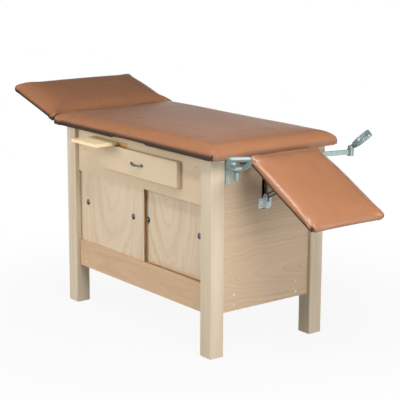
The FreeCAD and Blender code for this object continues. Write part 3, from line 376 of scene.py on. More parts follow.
# Vinyl and metals
def vinyl(name, colour, flat, outline, turned):
    """Upholstery vinyl: a fine pebble, faint rub marks, a satin sheen, and painted shade in its grooves and
    where the cover turns under.
    """
    finish = Finish(name, Specular_IOR_Level=0.5, Coat_Roughness=0.3)
    place = finish.places()
    jitter = finish.node("ShaderNodeTexNoise", {}, {"Vector": place, "Scale": 260.0}, "Color")
    warped = finish.stretched(jitter, (0.0012, 0.0012, 0.0012), place)
    pebble = finish.cells(warped, 760.0)
    groove = 1.0 - finish.cells(warped, 520.0, "DISTANCE_TO_EDGE").eased(0.0, 0.22)
    patches = finish.clouds(place, 5.0, 3.0, 0.55)
    rub = finish.grain(place, AXES["X"], RUB_MARKS)
    depth = patches.swing() * 0.5 + rub.swing() * 0.25 + 0.5
    face = finish.ramp(depth, [(0.0, shade_of(colour, 1.07)), (1.0, shade_of(colour, 0.92, 0.02))])
    # Painted shade: the grooves between the pebbles are darkened
    face = finish.mix(groove * 0.22, face, shade_of(colour, 0.66, 0.05))
    painted_shade = underside_shade(finish, flat, outline, turned, patches)
    # Painted shade: the cover goes nearly black under the mask, and is made rougher with no coat there
    face = finish.mix(painted_shade * 0.97, face, shade_of(colour, 0.07, -0.1))
    rough = patches * 0.08 + rub * 0.06 + groove * 0.06 + painted_shade * 0.4 + 0.21
    finish.give(Base_Color=face, Roughness=rough, Coat_Weight=(0.3 - groove * 0.15) * (1.0 - painted_shade))
    finish.bump(pebble * 0.5 - groove * 0.6, 0.2, 0.0004)
    return finish.material


def underside_shade(finish, flat, outline, turned, patches):
    """Painted shade, 1 where it is full: where the cover faces down and away from the lamps, along the
    lower edge where it turns under, and in the tucks at the corners.
    """
    turn = tuple(flat.to_euler())
    lying = {"Vector": finish.places(), "Rotation": turn, "Location": tuple(flat.translation)}
    x, y, z = finish.split(finish.node("ShaderNodeMapping", {}, lying))
    looking = {"Vector": finish.facing(), "Rotation": turn}
    normal = finish.node("ShaderNodeMapping", {"vector_type": "VECTOR"}, looking)
    outward, _, upward = finish.split(normal)
    # Painted shade on sides that face down, lighter where they face the foot end and the lamps there
    under = 1.0 - (outward * 0.42 + upward * 0.9 + patches.swing() * 0.1).eased(-0.3, 0.42)
    height = z - outline.low
    # Painted shade in a band along the lower edge, thinner where the side faces the foot end
    band = (1.0 - height.eased(turned * 0.33, turned)) * (1.0 - outward.eased(0.3, 0.8) * 0.65)
    x_in = abs(abs(x - (outline.left + outline.right) / 2) - (outline.right - outline.left) / 2)
    y_in = abs(abs(y - (outline.front + outline.rear) / 2) - (outline.rear - outline.front) / 2)
    tall = outline.top - outline.low
    # Painted shade in the creases of the corner tucks, fading towards the top
    tuck = (1.0 - abs(x_in - y_in).eased(0.002, 0.006)) * (1.0 - (x_in + y_in).eased(0.03, 0.05))
    tuck = tuck * (1.0 - height.eased(tall * 0.35, tall * 0.6))
    return 1.0 - (1.0 - under) * (1.0 - band) * (1.0 - tuck)


def metal(name, colour, roughness, metallic=1.0, grain=None, mottle=0.12, scale=60.0):
    """Bare or plated metal with a mottled tone, and brush lines where it was drawn."""
    finish = Finish(name, Metallic=metallic, Coat_Roughness=0.2)
    place = finish.places()
    spots = finish.clouds(place, scale, 4.0, 0.6)
    film = finish.clouds(place, scale * 0.2)
    depth = spots.swing() * 0.7 + film.swing() * 0.6 + 0.5
    dark, light = shade_of(colour, 1 - mottle * 1.6), shade_of(colour, 1 + mottle)
    finish.give(Base_Color=finish.ramp(depth, [(0.15, dark), (0.85, light)]))
    height = spots
    rough = film * 0.12 + spots * 0.06 + (roughness - 0.09)
    if grain:
        lines = finish.grain(place, AXES[grain], BRUSH_LINES)
        height = spots * 0.3 + lines * 0.7
        rough = rough + lines * 0.08
    finish.give(Roughness=rough)
    finish.bump(height, 0.08, 0.0003)
    return finish.material


def dress(material, *nodes):
    """Gives CAD nodes a material in place of the plain one that they come with."""
    for node in nodes:
        mesh = frame["nodes"][node].data
        mesh.materials.clear()
        mesh.materials.append(material)


# Mesh helpers
def add_piece(name, mesh_maker, material, smooth=True):
    """A new object from a function that fills a bmesh in the part's own frame."""
    shell = bmesh.new()
    mesh_maker(shell)
    bmesh.ops.recalc_face_normals(shell, faces=shell.faces)
    mesh = bpy.data.meshes.new(name)
    shell.to_mesh(mesh)
    shell.free()
    return show(name, mesh, material, smooth)


def show(name, mesh, material, smooth=True):
    """Puts a mesh into the scene with its material."""
    shade(mesh, smooth)
    mesh.materials.clear()
    mesh.materials.append(material)
    piece = bpy.data.objects.new(name, mesh)
    bpy.context.scene.collection.objects.link(piece)
    return piece


def shade(mesh, smooth=True):
    mesh.polygons.foreach_set("use_smooth", [smooth] * len(mesh.polygons))


def bake_modifiers(piece):
    """Makes the modifiers of a piece part of its mesh."""
    graph = bpy.context.evaluated_depsgraph_get()
    mesh = bpy.data.meshes.new_from_object(piece.evaluated_get(graph))
    piece.modifiers.clear()
    piece.data = mesh


def frame_at(origin, outward, turn=0.0):
    """A matrix that stands +Z on a point, looking outward, turned about it."""
    aim = Vector(outward).to_track_quat("Z", "Y").to_matrix().to_4x4()
    return Matrix.Translation(origin) @ aim @ Matrix.Rotation(turn, 4, "Z")


def spin(shell, profile, segments, matrix, shape=None):
    """Turns a profile of (radius, height) about Z. Shape may change the height of a point."""
    rings = []
    for radius, height in profile:
        ring = []
        for step in range(segments):
            angle = 2 * math.pi * step / segments
            x, y = radius * math.cos(angle), radius * math.sin(angle)
            z = shape(x, y, height) if shape else height
            ring.append(matrix @ Vector((x, y, z)))
        rings.append(ring)
    skin(shell, rings)


def skin(shell, sections):
    """Joins rings of points, one after another, and closes both ends."""
    rings = [[shell.verts.new(point) for point in section] for section in sections]
    for lower, upper in zip(rings, rings[1:]):
        for step in range(len(lower)):
            following = (step + 1) % len(lower)
            shell.faces.new((lower[step], lower[following], upper[following], upper[step]))
    for ring in (rings[0], rings[-1]):
        shell.faces.new(ring)


def smoothstep(low, high, number):
    share = min(max((number - low) / (high - low), 0.0), 1.0)
    return share * share * (3 - 2 * share)


def bell(number, middle, width):
    """1 at the middle, falling off on both sides."""
    return math.exp(-((number - middle) / width) ** 2)


def stretch_square(first, second):
    """By what share a point of a round corner moves out, to make the corner nearly square."""
    flat = (first**SHARPNESS + second**SHARPNESS) ** (1 / SHARPNESS)
    return math.hypot(first, second) / flat - 1


class Outline:
    """The sides of a pad that lies flat, the height of its rim and the height of its top."""

    def __init__(self, points, low):
        xs, ys, zs = zip(*points)
        self.left, self.right = min(xs), max(xs)
        self.front, self.rear = min(ys), max(ys)
        self.low, self.top = low, max(zs)

    def insets(self, point):
        """How far a point is from the nearer end and from the nearer side."""
        x_in = min(point.x - self.left, self.right - point.x)
        y_in = min(point.y - self.front, self.rear - point.y)
        return x_in, y_in

    def sides(self, point):
        """Which half a point is in: -1 or 1 for the length and the width."""
        x_side = 1 if point.x > (self.left + self.right) / 2 else -1
        y_side = 1 if point.y > (self.front + self.rear) / 2 else -1
        return x_side, y_side

    def height(self, point):
        return (point.z - self.low) / (self.top - self.low)


# Settings that a user may change
def tint(title, colour):
    use = f"Colour of {title.lower()}"
    return bpy.props.FloatVectorProperty(
        name=title, description=use, subtype="COLOR", default=colour, min=0, max=1
    )


def amount(title, use, default, **more):
    return bpy.props.FloatProperty(name=title, description=use, default=default, **more)


def length(title, use, default, **more):
    return amount(title, use, default, unit="LENGTH", **more)


def watts(title, use, default):
    return amount(title, use, default, unit="POWER")


def degrees(title, use, default):
    return amount(title, use, math.radians(default), subtype="ANGLE")


class TableColours(bpy.types.PropertyGroup):
    """Base colours of the finishes."""

    vinyl: tint("The vinyl covers", (0.375, 0.166, 0.080))
    legs: tint("The legs", (0.630, 0.522, 0.378))
    faces: tint("The drawer and front rail", (0.645, 0.510, 0.340))
    doors: tint("The sliding doors", (0.650, 0.520, 0.365))
    panels: tint("The end and back panels", (0.590, 0.435, 0.290))
    apron: tint("The apron under the doors", (0.585, 0.395, 0.235))
    # Painted light: the shelf is pale wood, made paler still to stand in for the light on it
    shelf: tint("The pull-out shelf", (0.950, 0.750, 0.470))
    guides: tint("The shelf guides", (0.660, 0.390, 0.160))
    inside: tint("The wood inside", (0.520, 0.400, 0.260))
    # Painted shade: the boards are near black, so that what shows of them under the pads reads as shade
    boards: tint("The boards under the pads", (0.120, 0.085, 0.060))
    zinc: tint("The cast stirrups and brackets", (0.215, 0.290, 0.282))
    # Painted light: the catches are near white, lighter than the other zinc to make up for the leaf's shade
    # over them
    catches: tint("The stay catches", (0.860, 0.980, 0.980))
    steel: tint("The hinges and stays", (0.160, 0.160, 0.155))
    bright: tint("The screws and pins", (0.640, 0.640, 0.620))
    nickel: tint("The pull and finger cups", (0.230, 0.228, 0.220))


class TablePads(bpy.types.PropertyGroup):
    """How the pads are upholstered."""

    grid: length("Grid", "Size of the mesh that is swollen", 0.0055, min=0.003)
    inset: length("Inset", "How much smaller a pad starts", 0.0025)
    pressure: amount("Pressure", "Push of the foam on the cover", 4.0)
    swell: length("Swell", "The most that a point of the cover moves", 0.0065)
    crown: length("Crown", "How much the foam rises from the shoulders to the middle", 0.006)
    dart: length("Dart", "Depth of the folds at the corners", 0.0045)
    pull: length("Pull", "Depth of the dimples between staples", 0.0003)


class TableStage(bpy.types.PropertyGroup):
    """Camera and light."""

    place: bpy.props.FloatVectorProperty(
        name="Camera place", description="Where the camera stands", subtype="TRANSLATION",
        default=(3.8209, -2.9156, 1.5351),
    )
    yaw: degrees("Yaw", "Heading of the camera from +X", 142.213)
    pitch: degrees("Pitch", "How far the camera looks down", 12.586)
    roll: degrees("Roll", "Lean of the camera", 0.253)
    lens: amount("Lens", "Focal length on a 36 mm sensor", 114.72)
    sky: amount("Sky", "Level of the light from all round", 0.12)
    key: watts("Key", "Lamp high over the foot end", 32.0)
    side: watts("Side", "Low lamp at the foot end", 43.0)
    fill: watts("Fill", "Lamp before the doors", 70.0)
    top: watts("Top", "Small lamp over the front edge", 11.0)
    front: watts("Front", "Lamp by the camera", 5.0)


class TableOperator(bpy.types.Operator):
    """Shared means of the steps that dress the table."""

    bl_options = {"REGISTER", "UNDO"}

    @property
    def colours(self):
        return bpy.context.scene.table_colours

    @property
    def pads(self):
        return bpy.context.scene.table_pads


class TABLE_OT_stage(TableOperator):
    """Sets the floor, the light and the camera"""

    bl_idname = "table.stage"
    bl_label = "Stage"

    def execute(self, context):
        stage = context.scene.table_stage
        self.floor()
        self.sky(context.scene, stage.sky)
        for name, setting in LAMPS.items():
            self.lamp(name, getattr(stage, name), *setting)
        self.camera(context.scene, stage)
        context.scene.view_settings.view_transform = "Standard"
        return {"FINISHED"}

    def floor(self):
        """A grey sheet that takes the shadow, shown nearly white."""
        finish = Finish("pale_floor", Roughness=0.9, Specular_IOR_Level=0.1)
        place = finish.places()
        speckle = finish.clouds(place, 30.0, 3.0, 0.6) * 0.1
        finish.give(Base_Color=finish.mix(speckle, (0.45, 0.45, 0.45, 1), (0.38, 0.38, 0.38, 1)))
        away = finish.node("ShaderNodeVectorMath", {"operation": "LENGTH"}, {0: place}, "Value")
        glow = finish.node("ShaderNodeEmission", {}, {0: WHITE, 1: 1.0})
        base = Tone(finish, finish.shader.outputs[0])
        share = away.eased(*SHADOW_FADE) * SHADOW_SHARE + (1.0 - SHADOW_SHARE)
        shown = finish.node("ShaderNodeMixShader", {}, {0: finish.shown() * share, 1: base, 2: glow})
        output = next(node for node in finish.tree.nodes if node.type == "OUTPUT_MATERIAL")
        finish.tree.links.new(shown.socket, output.inputs[0])

        def sheet(shell):
            bmesh.ops.create_grid(shell, x_segments=8, y_segments=8, size=FLOOR_REACH)

        add_piece("floor", sheet, finish.material, smooth=False)

    def sky(self, scene, level):
        backdrop = Backdrop("studio")
        scene.world = backdrop.world
        height = backdrop.split(backdrop.node("ShaderNodeTexCoord", {}, {}, "Generated"))[2]
        wall = 1.0 - height.eased(*WALL_FADE)
        backdrop.give(Strength=backdrop.shown() * wall * (1.0 - level) + level)

    def lamp(self, name, power, place, target, size, glossy):
        data = bpy.data.lights.new(name, "AREA")
        data.energy = power
        data.shape = "RECTANGLE"
        data.size, data.size_y = size
        lamp = bpy.data.objects.new(name, data)
        lamp.location = place
        lamp.rotation_euler = (Vector(target) - Vector(place)).to_track_quat("-Z", "Y").to_euler()
        lamp.visible_glossy = glossy
        bpy.context.scene.collection.objects.link(lamp)

    def camera(self, scene, stage):
        yaw, pitch = stage.yaw, stage.pitch
        ahead = Vector((math.cos(yaw) * math.cos(pitch), math.sin(yaw) * math.cos(pitch), -math.sin(pitch)))
        level = ahead.cross(Vector((0, 0, 1))).normalized()
        upright = level.cross(ahead)
        right = level * math.cos(stage.roll) + upright * math.sin(stage.roll)
        up = upright * math.cos(stage.roll) - level * math.sin(stage.roll)
        data = bpy.data.cameras.new("camera")
        data.sensor_width = SENSOR_WIDTH
        data.lens = stage.lens
        camera = bpy.data.objects.new("camera", data)
        turn = Matrix((right, up, -ahead)).transposed().to_4x4()
        camera.matrix_world = Matrix.Translation(stage.place) @ turn
        scene.collection.objects.link(camera)
        scene.camera = camera


class TABLE_OT_woodwork(TableOperator):
    """Gives the legs, rails, panels and inner wood their grain"""

    bl_idname = "table.woodwork"
    bl_label = "Woodwork"

    def execute(self, context):
        colours = self.colours
        legs = ("leg_front_foot", "leg_front_head", "leg_rear_foot", "leg_rear_head")
        for number, leg in enumerate(legs):
            post = wood(leg + "_wood", colours.legs, "Z", streaks=1.3, warmth=0.05, shift=number * 0.37)
            dress(post, leg)
        dress(wood("rail_wood", colours.faces, "X", streaks=0.4, shift=0.2), "front_rail")
        dress(wood("apron_wood", colours.apron, "X", APRON_ARCHES, streaks=0.6), "front_apron")
        plies = (shade_of(colours.panels, 1.05), shade_of(colours.panels, 0.6, 0.15))
        ends = ("X", PANEL_PLY, *plies)
        for number, panel in enumerate(("end_panel_foot", "end_panel_head")):
            ply = wood(panel + "_ply", colours.panels, "Y", END_ARCHES, shift=number * 0.5, layers=ends)
            dress(ply, panel)
        back = ("Y", PANEL_PLY, *plies)
        dress(wood("back_ply", colours.panels, "X", BACK_ARCHES, layers=back), "back_panel")
        inner = wood("inner_wood", colours.inside, "X", streaks=0.7, polish=0.55)
        dress(inner, "cabinet_floor", "corner_blocks")
        # Partly painted shade: the tracks are guide wood at half its tone, darkened for the shade in the
        # groove below the doors
        track = wood("track_wood", shade_of(colours.guides, 0.5, 0.1), "X", streaks=0.7)
        dress(track, "door_track_bottom", "door_track_top")
        lying = ("Z", BOARD_PLY, *plies)
        # Painted shade: the faces of the boards take the near-black colour of the shade under the pads
        board = wood("board_ply", colours.boards, "X", streaks=0.8, polish=0.55, layers=lying)
        dress(board, "main_board", "back_board", "leaf_board")
        return {"FINISHED"}


class TABLE_OT_doors(TableOperator):
    """Gives each sliding door its own arched veneer"""

    bl_idname = "table.doors"
    bl_label = "Sliding doors"

    def execute(self, context):
        colours = self.colours
        layers = ("Y", DOOR_PLY, shade_of(colours.guides, 0.85), shade_of(colours.guides, 0.5, 0.1))
        for door, middle, shift in (("door_left", -0.19, 0.0), ("door_right", 0.16, 0.31)):
            arches = dict(DOOR_ARCHES, middle=middle)
            veneer = wood(
                door + "_veneer", colours.doors, "Z", arches, streaks=0.35, shift=shift, layers=layers
            )
            dress(veneer, door)
        return {"FINISHED"}


class TABLE_OT_drawer(TableOperator):
    """Finishes the drawer and the pull-out shelf with its guides"""

    bl_idname = "table.drawer"
    bl_label = "Drawer and shelf"

    def execute(self, context):
        colours = self.colours
        face = wood("drawer_face_wood", colours.faces, "X", streaks=0.35, warmth=0.06, shift=0.9)
        dress(face, "drawer_front")
        box = wood("drawer_box_wood", colours.inside, "Y", streaks=0.7, polish=0.5, shift=0.4)
        dress(box, "drawer_side_left", "drawer_side_right", "drawer_runner_left", "drawer_runner_right")
        cross = wood("drawer_cross_wood", colours.inside, "X", streaks=0.7, polish=0.5, shift=0.6)
        dress(cross, "drawer_back", "drawer_bottom")
        # Painted light: the shelf takes its raised colour
        shelf = wood("shelf_wood", colours.shelf, "Y", streaks=0.5, warmth=0.08, shift=0.15)
        dress(shelf, "pull_out_shelf")
        guide = wood("guide_wood", colours.guides, "Y", streaks=0.8, shift=0.3)
        dress(guide, "shelf_guide_left", "shelf_guide_right")
        return {"FINISHED"}


class TABLE_OT_metals(TableOperator):
    """Finishes the hinges, stays, brackets and stirrups"""

    bl_idname = "table.metals"
    bl_label = "Metalwork"

    def execute(self, context):
        colours = self.colours
        cast = metal("cast_zinc", colours.zinc, 0.34, metallic=0.45, mottle=0.16, scale=90.0)
        dress(cast, *self.pair("stirrup_arm"), *self.pair("stirrup_loop"))
        # Painted light: the bracket plates take the stirrups' zinc 2.3 times lighter, lit and shaded copies
        # of one finish
        lit_zinc_tint = shade_of(colours.zinc, 2.3)
        plate = metal("plate_zinc", lit_zinc_tint, 0.34, metallic=0.3, mottle=0.2, scale=90.0)
        dress(plate, *self.pair("stirrup_bracket"))
        # Painted light: the catches take the near-white zinc
        lit_catch = metal("pressed_zinc", colours.catches, 0.34, metallic=0.1, mottle=0.2, scale=110.0)
        dress(lit_catch, "catch_bracket_head", "catch_bracket_foot")
        drawn = metal("drawn_steel", colours.steel, 0.36, grain="X")
        dress(drawn, *self.pair("leaf_hinge_bracket"), *self.pair("leaf_hinge_strap"))
        dress(drawn, "back_stay", "leaf_stay", "back_stay_eye", "leaf_stay_eye")
        enamel = metal("brown_enamel", shade_of(colours.vinyl, 0.55), 0.4, metallic=0.0, mottle=0.1)
        dress(enamel, *self.pair("back_hinge_fixed"), *self.pair("back_hinge_moving"), "back_hinge_pins")
        bright = metal("bright_steel", colours.bright, 0.28, scale=140.0)
        dress(bright, "leaf_hinge_pins", "catch_pins", "stirrup_pins", "frame_screws")
        nickel = metal("nickel_plate", colours.nickel, 0.2, mottle=0.06)
        dress(nickel, "drawer_pull")
        # Painted shade: the nickel of the finger cups is darkened to a seventh, standing in for dark
        # reflections in their bowls
        shaded_nickel = metal("worn_nickel", shade_of(colours.nickel, 0.14), 0.22, mottle=0.06)
        dress(shaded_nickel, "finger_cups_left", "finger_cups_right")
        return {"FINISHED"}

    def pair(self, name):
        return name + "_front", name + "_rear"


class TABLE_OT_pads(TableOperator):
    """Makes the three upholstered pads by swelling a cover over their foam"""

    bl_idname = "table.pads"
    bl_label = "Pads"

    def execute(self, context):
        for name, body, joint, turn, plump, seam, grow, turned in PADS:
            flat = Matrix.Identity(4)
            if joint:
                hinge = Matrix.Translation(JOINTS[joint]["pos_m"])
                flat = hinge @ Matrix.Rotation(-turn, 4, "Y") @ hinge.inverted()
            piece = self.swollen(name, flat, self.pads.swell * plump, seam, Vector(grow), turned)
            piece.data.transform(flat.inverted())
            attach(piece, body)
            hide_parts(name + "_pad")
        return {"FINISHED"}

    def flat_copy(self, node, flat):
        mesh = frame["nodes"][node].data.copy()
        mesh.transform(flat)
        return mesh

    def swollen(self, name, flat, limit, seam, grow, turned):
        """One pad, laid flat: an even grid over its foam, swollen, eased, folded and squared."""
        mesh = self.flat_copy(name + "_pad", flat)
        low = min(vertex.co.z for vertex in mesh.vertices)
        solid = Outline([vertex.co for vertex in mesh.vertices], low)
        cover = vinyl(name + "_vinyl", self.colours.vinyl, flat, solid, turned)
        piece = show(name + "_cushion", mesh, cover)
        board = self.flat_copy(name + "_board", flat)
        seat = max(vertex.co.z for vertex in board.vertices) + SEAT_GAP
        self.weld(mesh)
        self.shrink(mesh, seat)
        remesh = piece.modifiers.new("even_grid", "REMESH")
        remesh.mode = "VOXEL"
        remesh.voxel_size = self.pads.grid
        self.smoothing(piece, "settle", 14)
        bake_modifiers(piece)
        start = [vertex.co.copy() for vertex in piece.data.vertices]
        outline = Outline(start, low)
        self.hold(piece, start, outline, seat)
        self.swell(piece, start, limit)
        self.pillow(piece, outline)
        rounding = piece.modifiers.new("rounding", "SUBSURF")
        rounding.levels = 1
        rounding.render_levels = 1
        bake_modifiers(piece)
        self.fold(piece.data, outline)
        self.square(piece.data, outline, seam, grow)
        piece.vertex_groups.clear()
        shade(piece.data)
        return piece

    def weld(self, mesh):
        shell = bmesh.new()
        shell.from_mesh(mesh)
        bmesh.ops.remove_doubles(shell, verts=shell.verts, dist=WELD_GAP)
        shell.to_mesh(mesh)
        shell.free()

    def shrink(self, mesh, seat):
        """Draws the foam in a little above the board, so that the swelling brings it back to size."""
        normals = [vertex.normal.copy() for vertex in mesh.vertices]
        for vertex, normal in zip(mesh.vertices, normals):
            if vertex.co.z > seat:
                vertex.co -= normal * self.pads.inset

    def smoothing(self, piece, name, rounds, group=""):
        modifier = piece.modifiers.new(name, "SMOOTH")
        modifier.factor = 0.5
        modifier.iterations = rounds
        modifier.vertex_group = group
        return modifier

    def hold(self, piece, start, outline, seat):
        """Marks the points that stay put: the hollow that takes the board, and the rim."""
        held = piece.vertex_groups.new(name="held")
        for number, point in enumerate(start):
            hollow = min(outline.insets(point)) > FOAM_WALL and point.z < seat
            if hollow or point.z < outline.low + HELD_RIM:
                held.add([number], 1.0, "REPLACE")

    def swell(self, piece, start, limit):
        """Blows the cover up as cloth. No point moves further than the limit."""
        cloth = piece.modifiers.new("swelling", "CLOTH")
        settings = cloth.settings
        settings.quality = 4
        settings.mass = 0.35
        settings.tension_stiffness = 25.0
        settings.compression_stiffness = 25.0
        settings.shear_stiffness = 8.0
        settings.bending_stiffness = 1.5
        settings.use_pressure = True
        settings.uniform_pressure_force = self.pads.pressure
        settings.effector_weights.gravity = 0.0
        settings.vertex_group_mass = "held"
        cloth.collision_settings.use_collision = False
        cloth.point_cache.frame_start = 1
        cloth.point_cache.frame_end = CLOTH_FRAMES
        for number in range(1, CLOTH_FRAMES + 1):
            bpy.context.scene.frame_set(number)
        graph = bpy.context.evaluated_depsgraph_get()
        moved = [vertex.co.copy() for vertex in piece.evaluated_get(graph).data.vertices]
        piece.modifiers.remove(cloth)
        bpy.context.scene.frame_set(1)
        for vertex, before, after in zip(piece.data.vertices, start, moved):
            step = after - before
            if step.length > 0:
                step *= limit * math.tanh(step.length / limit) / step.length
            vertex.co = before + step

    def pillow(self, piece, outline):
        """Raises a crown and eases the top into the shoulders, as foam under a tight cover does."""
        upper = piece.vertex_groups.new(name="upper")
        for vertex in piece.data.vertices:
            point = vertex.co
            share = smoothstep(*SHOULDER, outline.height(point))
            if share > 0:
                upper.add([vertex.index], share, "REPLACE")
            clear = max(min(outline.insets(point)), 0.0)
            point.z += self.pads.crown * share * (1 - math.exp(-clear / CROWN_REACH))
        self.smoothing(piece, "calm", 10, "upper")
        easing = self.smoothing(piece, "easing", 30, "upper")
        easing.use_x = False
        easing.use_y = False
        bake_modifiers(piece)

    def fold(self, mesh, outline):
        """Folds two darts into each corner and dimples the sides between staples."""
        for vertex in mesh.vertices:
            point = vertex.co
            fade = 1 - smoothstep(*FOLD_FADE, outline.height(point))
            x_in, y_in = outline.insets(point)
            if fade <= 0 or min(x_in, y_in) > RIM:
                continue
            x_side, y_side = outline.sides(point)
            if max(x_in, y_in) < DART_REACH:
                along = (x_in - y_in) / math.sqrt(2)
                depth = sum(bell(along, place, DART_WIDTH) for place in DARTS)
                point += Vector((-x_side, -y_side, 0)).normalized() * self.pads.dart * depth * fade
            else:
                run = point.x if y_in < x_in else point.y
                depth = (1 - math.cos(2 * math.pi * run / STAPLE_PITCH)) / 2
                inward = Vector((0, -y_side, 0)) if y_in < x_in else Vector((-x_side, 0, 0))
                point += inward * self.pads.pull * depth * fade

    def square(self, mesh, outline, seam, grow):
        """Draws the rim down over the board's edge, squares the edges that meet, and grows the far ones."""
        for vertex in mesh.vertices:
            point = vertex.co
            x_in, y_in = outline.insets(point)
            side = outline.sides(point)[0]
            height = outline.height(point)
            near = 1 - smoothstep(0.4 * RIM, RIM, min(x_in, y_in))
            point.z -= RIM_DROP * near * (1 - smoothstep(*RIM_FADE, height))
            from_end, from_side = SEAM_REACH - x_in, SEAM_REACH - y_in
            if side == seam and from_end > 0 and from_side > 0:
                stretch = stretch_square(from_end, from_side)
                point.x += side * from_end * stretch
                point.y += math.copysign(from_side * stretch, point.y)
            from_end, from_top = HINGE_REACH - x_in, HINGE_REACH - (outline.top - point.z)
            if seam == 0 and side < 0 and from_end > 0 and from_top > 0:
                stretch = stretch_square(from_end, from_top)
                point.x -= from_end * stretch
                point.z += from_top * stretch
            along = (point.x - outline.left) / (outline.right - outline.left)
            across = abs(point.y) / outline.rear
            wider = grow.y * smoothstep(*GROWTH_ACROSS, across) * smoothstep(*GROWTH_START, along)
            point.x += grow.x * smoothstep(*GROWTH_ALONG, along)
            point.y += math.copysign(wider, point.y)
            point.z += grow.z * smoothstep(*GROWTH_UP, height)


class TABLE_OT_screws(TableOperator):
    """Sets cross-slot screws into the frame and bolts through the brackets"""

    bl_idname = "table.screws"
    bl_label = "Screws and bolts"

    def execute(self, context):
        plate = metal("screw_plate", self.colours.bright, 0.3, scale=300.0, mottle=0.16)
        frame_set = self.row("frame_screw_heads", self.frame_places(), *FRAME_HEAD, plate)
        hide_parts("frame_screws")
        self.row("catch_screw_heads", self.catch_places(), *CATCH_HEAD, plate)
        self.row("bracket_bolt_heads", self.bracket_places(), *BOLT_HEAD, plate)
        return {"FINISHED"}

    def frame_places(self):
        """Where each screw of the rails and panels sits, and which way it looks."""
        front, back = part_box("front_apron")[0].y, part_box("back_panel")[1].y
        head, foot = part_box("end_panel_head")[0].x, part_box("end_panel_foot")[1].x
        places = []
        for x in (-LONG_SCREWS, LONG_SCREWS):
            for z in LOW_ROWS + HIGH_ROWS:
                places += [((x, front, z), (0, -1, 0)), ((x, back, z), (0, 1, 0))]
        for y in (-END_SCREWS, END_SCREWS):
            for z in LOW_ROWS:
                places += [((head, y, z), (-1, 0, 0)), ((foot, y, z), (1, 0, 0))]
        return places

    def catch_places(self):
        places = []
        for side, end in ((-1, "head"), (1, "foot")):
            low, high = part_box("catch_bracket_" + end)
            face = (high if side < 0 else low).x + side * CATCH_PLATE
            for hand in (-1, 1):
                y = (low.y + high.y) / 2 + hand * CATCH_HALF
                places += [((face, y, low.z + rise), (side, 0, 0)) for rise in CATCH_ROWS]
        return places

    def bracket_places(self):
        places = []
        for node in ("stirrup_bracket_front", "stirrup_bracket_rear"):
            low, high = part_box(node)
            x, y = low.x + BRACKET_PLATE, (low.y + high.y) / 2
            places += [((x, y, low.z + rise), (1, 0, 0)) for rise in BRACKET_ROWS]
        return places

    def row(self, name, places, radius, height, plate):
        """Domed heads with a cross-shaped slot, each turned to its own angle."""

        def arm(across, along):
            return min(1 - smoothstep(*SLOT_SIDE, across), 1 - smoothstep(*SLOT_END, along))

        def slotted(x, y, z):
            x, y = abs(x) / radius, abs(y) / radius
            return z - max(arm(x, y), arm(y, x)) * height * SLOT_DEPTH

        def heads(shell):
            sunk, side, dome, start = -0.0002, height * 0.18, radius * 0.96, height * 0.32
            profile = [(radius, sunk), (radius, side), (dome, start)]
            for step in range(1, 10):
                angle = step / 10 * math.pi / 2
                profile.append((dome * math.cos(angle), start + (height - start) * math.sin(angle)))
            profile.append((radius * 0.03, height))
            for number, (place, outward) in enumerate(places):
                spin(shell, profile, 32, frame_at(place, outward, number * HEAD_TURN), slotted)

        piece = add_piece(name, heads, plate)
        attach(piece, "cabinet")
        return piece


class TABLE_OT_finger_cups(TableOperator):
    """Lets round nickel cups into the sliding doors"""

    bl_idname = "table.finger_cups"
    bl_label = "Finger cups"

    def execute(self, context):
        nickel = metal("cup_nickel", self.colours.nickel, 0.17, mottle=0.05, scale=40.0)
        for hand in ("left", "right"):
            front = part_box(f"door_{hand}")[0].y
            low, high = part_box(f"finger_cups_{hand}")
            level = (low.z + high.z) / 2
            places = [(x, front, level) for x in (low.x + CUP_RADIUS, high.x - CUP_RADIUS)]
            piece = add_piece(f"cups_{hand}", lambda shell: self.cups(shell, places), nickel)
            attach(piece, f"door_{hand}")
            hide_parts(f"finger_cups_{hand}")
        return {"FINISHED"}

    def cups(self, shell, places):
        """A rolled lip round a deep round bowl. Heights are out from the face of the door."""
        profile = [(0.0002, CUP_BACK), (CUP_NECK, CUP_BACK), (CUP_NECK, 0.0), *CUP_LIP]
        for step in range(11):
            angle = step / 10.2 * math.pi / 2
            profile.append((BOWL_RADIUS * math.cos(angle), BOWL_FLOOR * math.sin(angle) + BOWL_START))
        for place in places:
            spin(shell, profile, 48, frame_at(place, (0, -1, 0)))


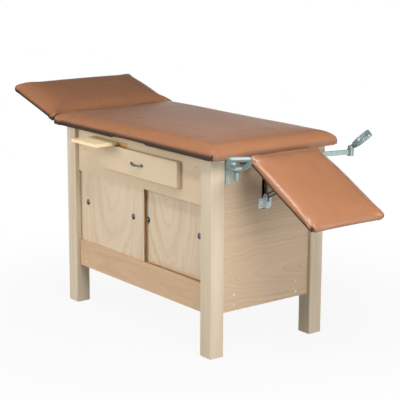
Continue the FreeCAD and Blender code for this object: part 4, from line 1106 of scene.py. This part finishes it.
class TABLE_OT_pull(TableOperator):
    """Shapes the bow pull of the drawer with its two leaf-shaped feet"""

    bl_idname = "table.pull"
    bl_label = "Drawer pull"

    def execute(self, context):
        nickel = metal("pull_nickel", self.colours.nickel, 0.16, mottle=0.07, scale=70.0)
        piece = add_piece("bow_pull", self.shape, nickel)
        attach(piece, "drawer")
        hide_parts("drawer_pull")
        return {"FINISHED"}

    def shape(self, shell):
        low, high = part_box("drawer_pull")
        place = Matrix.Translation(((low.x + high.x) / 2, high.y, (low.z + high.z) / 2))
        self.bow(shell, place)
        for side in (-1, 1):
            self.foot(shell, place, side)

    def bow(self, shell, place, steps=40, corners=16):
        """A bar that leaves one foot, swells to a beaded middle and comes down on the other."""
        path = []
        for step in range(steps + 1):
            share = step / steps
            rise = math.sin(math.pi * share) ** 0.55
            path.append(Vector((-BOW_HALF + 2 * BOW_HALF * share, -BOW_OUT * rise - BOW_LIFT, 0)))
        sections = []
        for step, point in enumerate(path):
            ahead = (path[min(step + 1, steps)] - path[max(step - 1, 0)]).normalized()
            outward = Vector((ahead.y, -ahead.x, 0))
            share = abs(step / steps - 0.5) * 2
            tall = BAR_TALL + MIDDLE_TALL * bell(share, 0.0, BEAD_PLACE)
            tall += BEAD_TALL * bell(share, BEAD_PLACE, 0.06)
            thick = BAR_DEEP + BEAD_DEEP * bell(share, BEAD_PLACE, 0.07)
            ring = []
            for corner in range(corners):
                angle = 2 * math.pi * corner / corners
                upward = Vector((0, 0, tall * math.sin(angle)))
                ring.append(place @ (point + outward * thick * math.cos(angle) + upward))
            sections.append(ring)
        skin(shell, sections)

    def foot(self, shell, place, side, steps=22):
        """A pointed leaf that lies on the drawer, domed along its rib."""
        sections = []
        for step in range(steps + 1):
            along = -FOOT_END + 2 * FOOT_END * step / steps
            width = FOOT_WIDTH * (1 - along * along) ** 0.75
            rib = FOOT_RIB * (0.35 + 0.65 * (1 - along * along))
            x = side * FOOT_PLACE + along * FOOT_HALF
            ring = []
            for corner in range(9):
                across = -1 + corner / 4
                height = rib * (1 - abs(across) ** 1.7) * 0.85 + FOOT_EDGE * (1 - across**6)
                ring.append(place @ Vector((x, -height, across * width)))
            ring.append(place @ Vector((x, SOLE_DEPTH, width * SOLE_SHARE)))
            ring.append(place @ Vector((x, SOLE_DEPTH, -width * SOLE_SHARE)))
            sections.append(ring)
        skin(shell, sections)


class VIEW3D_PT_table(bpy.types.Panel):
    """Lists the steps that dress the table"""

    bl_label = "Examination table"
    bl_space_type = "VIEW_3D"
    bl_region_type = "UI"
    bl_category = "Table"

    def draw(self, context):
        for step in STEPS:
            self.layout.operator(step.bl_idname)


STEPS = (
    TABLE_OT_stage,
    TABLE_OT_woodwork,
    TABLE_OT_doors,
    TABLE_OT_drawer,
    TABLE_OT_metals,
    TABLE_OT_pads,
    TABLE_OT_screws,
    TABLE_OT_finger_cups,
    TABLE_OT_pull,
)
GROUPS = {"table_colours": TableColours, "table_pads": TablePads, "table_stage": TableStage}


def register():
    for group in GROUPS.values():
        bpy.utils.register_class(group)
    for step in STEPS:
        bpy.utils.register_class(step)
    bpy.utils.register_class(VIEW3D_PT_table)
    for name, group in GROUPS.items():
        setattr(bpy.types.Scene, name, bpy.props.PointerProperty(type=group))


def unregister():
    for name in GROUPS:
        delattr(bpy.types.Scene, name)
    bpy.utils.unregister_class(VIEW3D_PT_table)
    for step in reversed(STEPS):
        bpy.utils.unregister_class(step)
    for group in reversed(list(GROUPS.values())):
        bpy.utils.unregister_class(group)


def main():
    register()
    for step in STEPS:
        family, action = step.bl_idname.split(".")
        getattr(getattr(bpy.ops, family), action)()


if __name__ == "__main__":
    main()
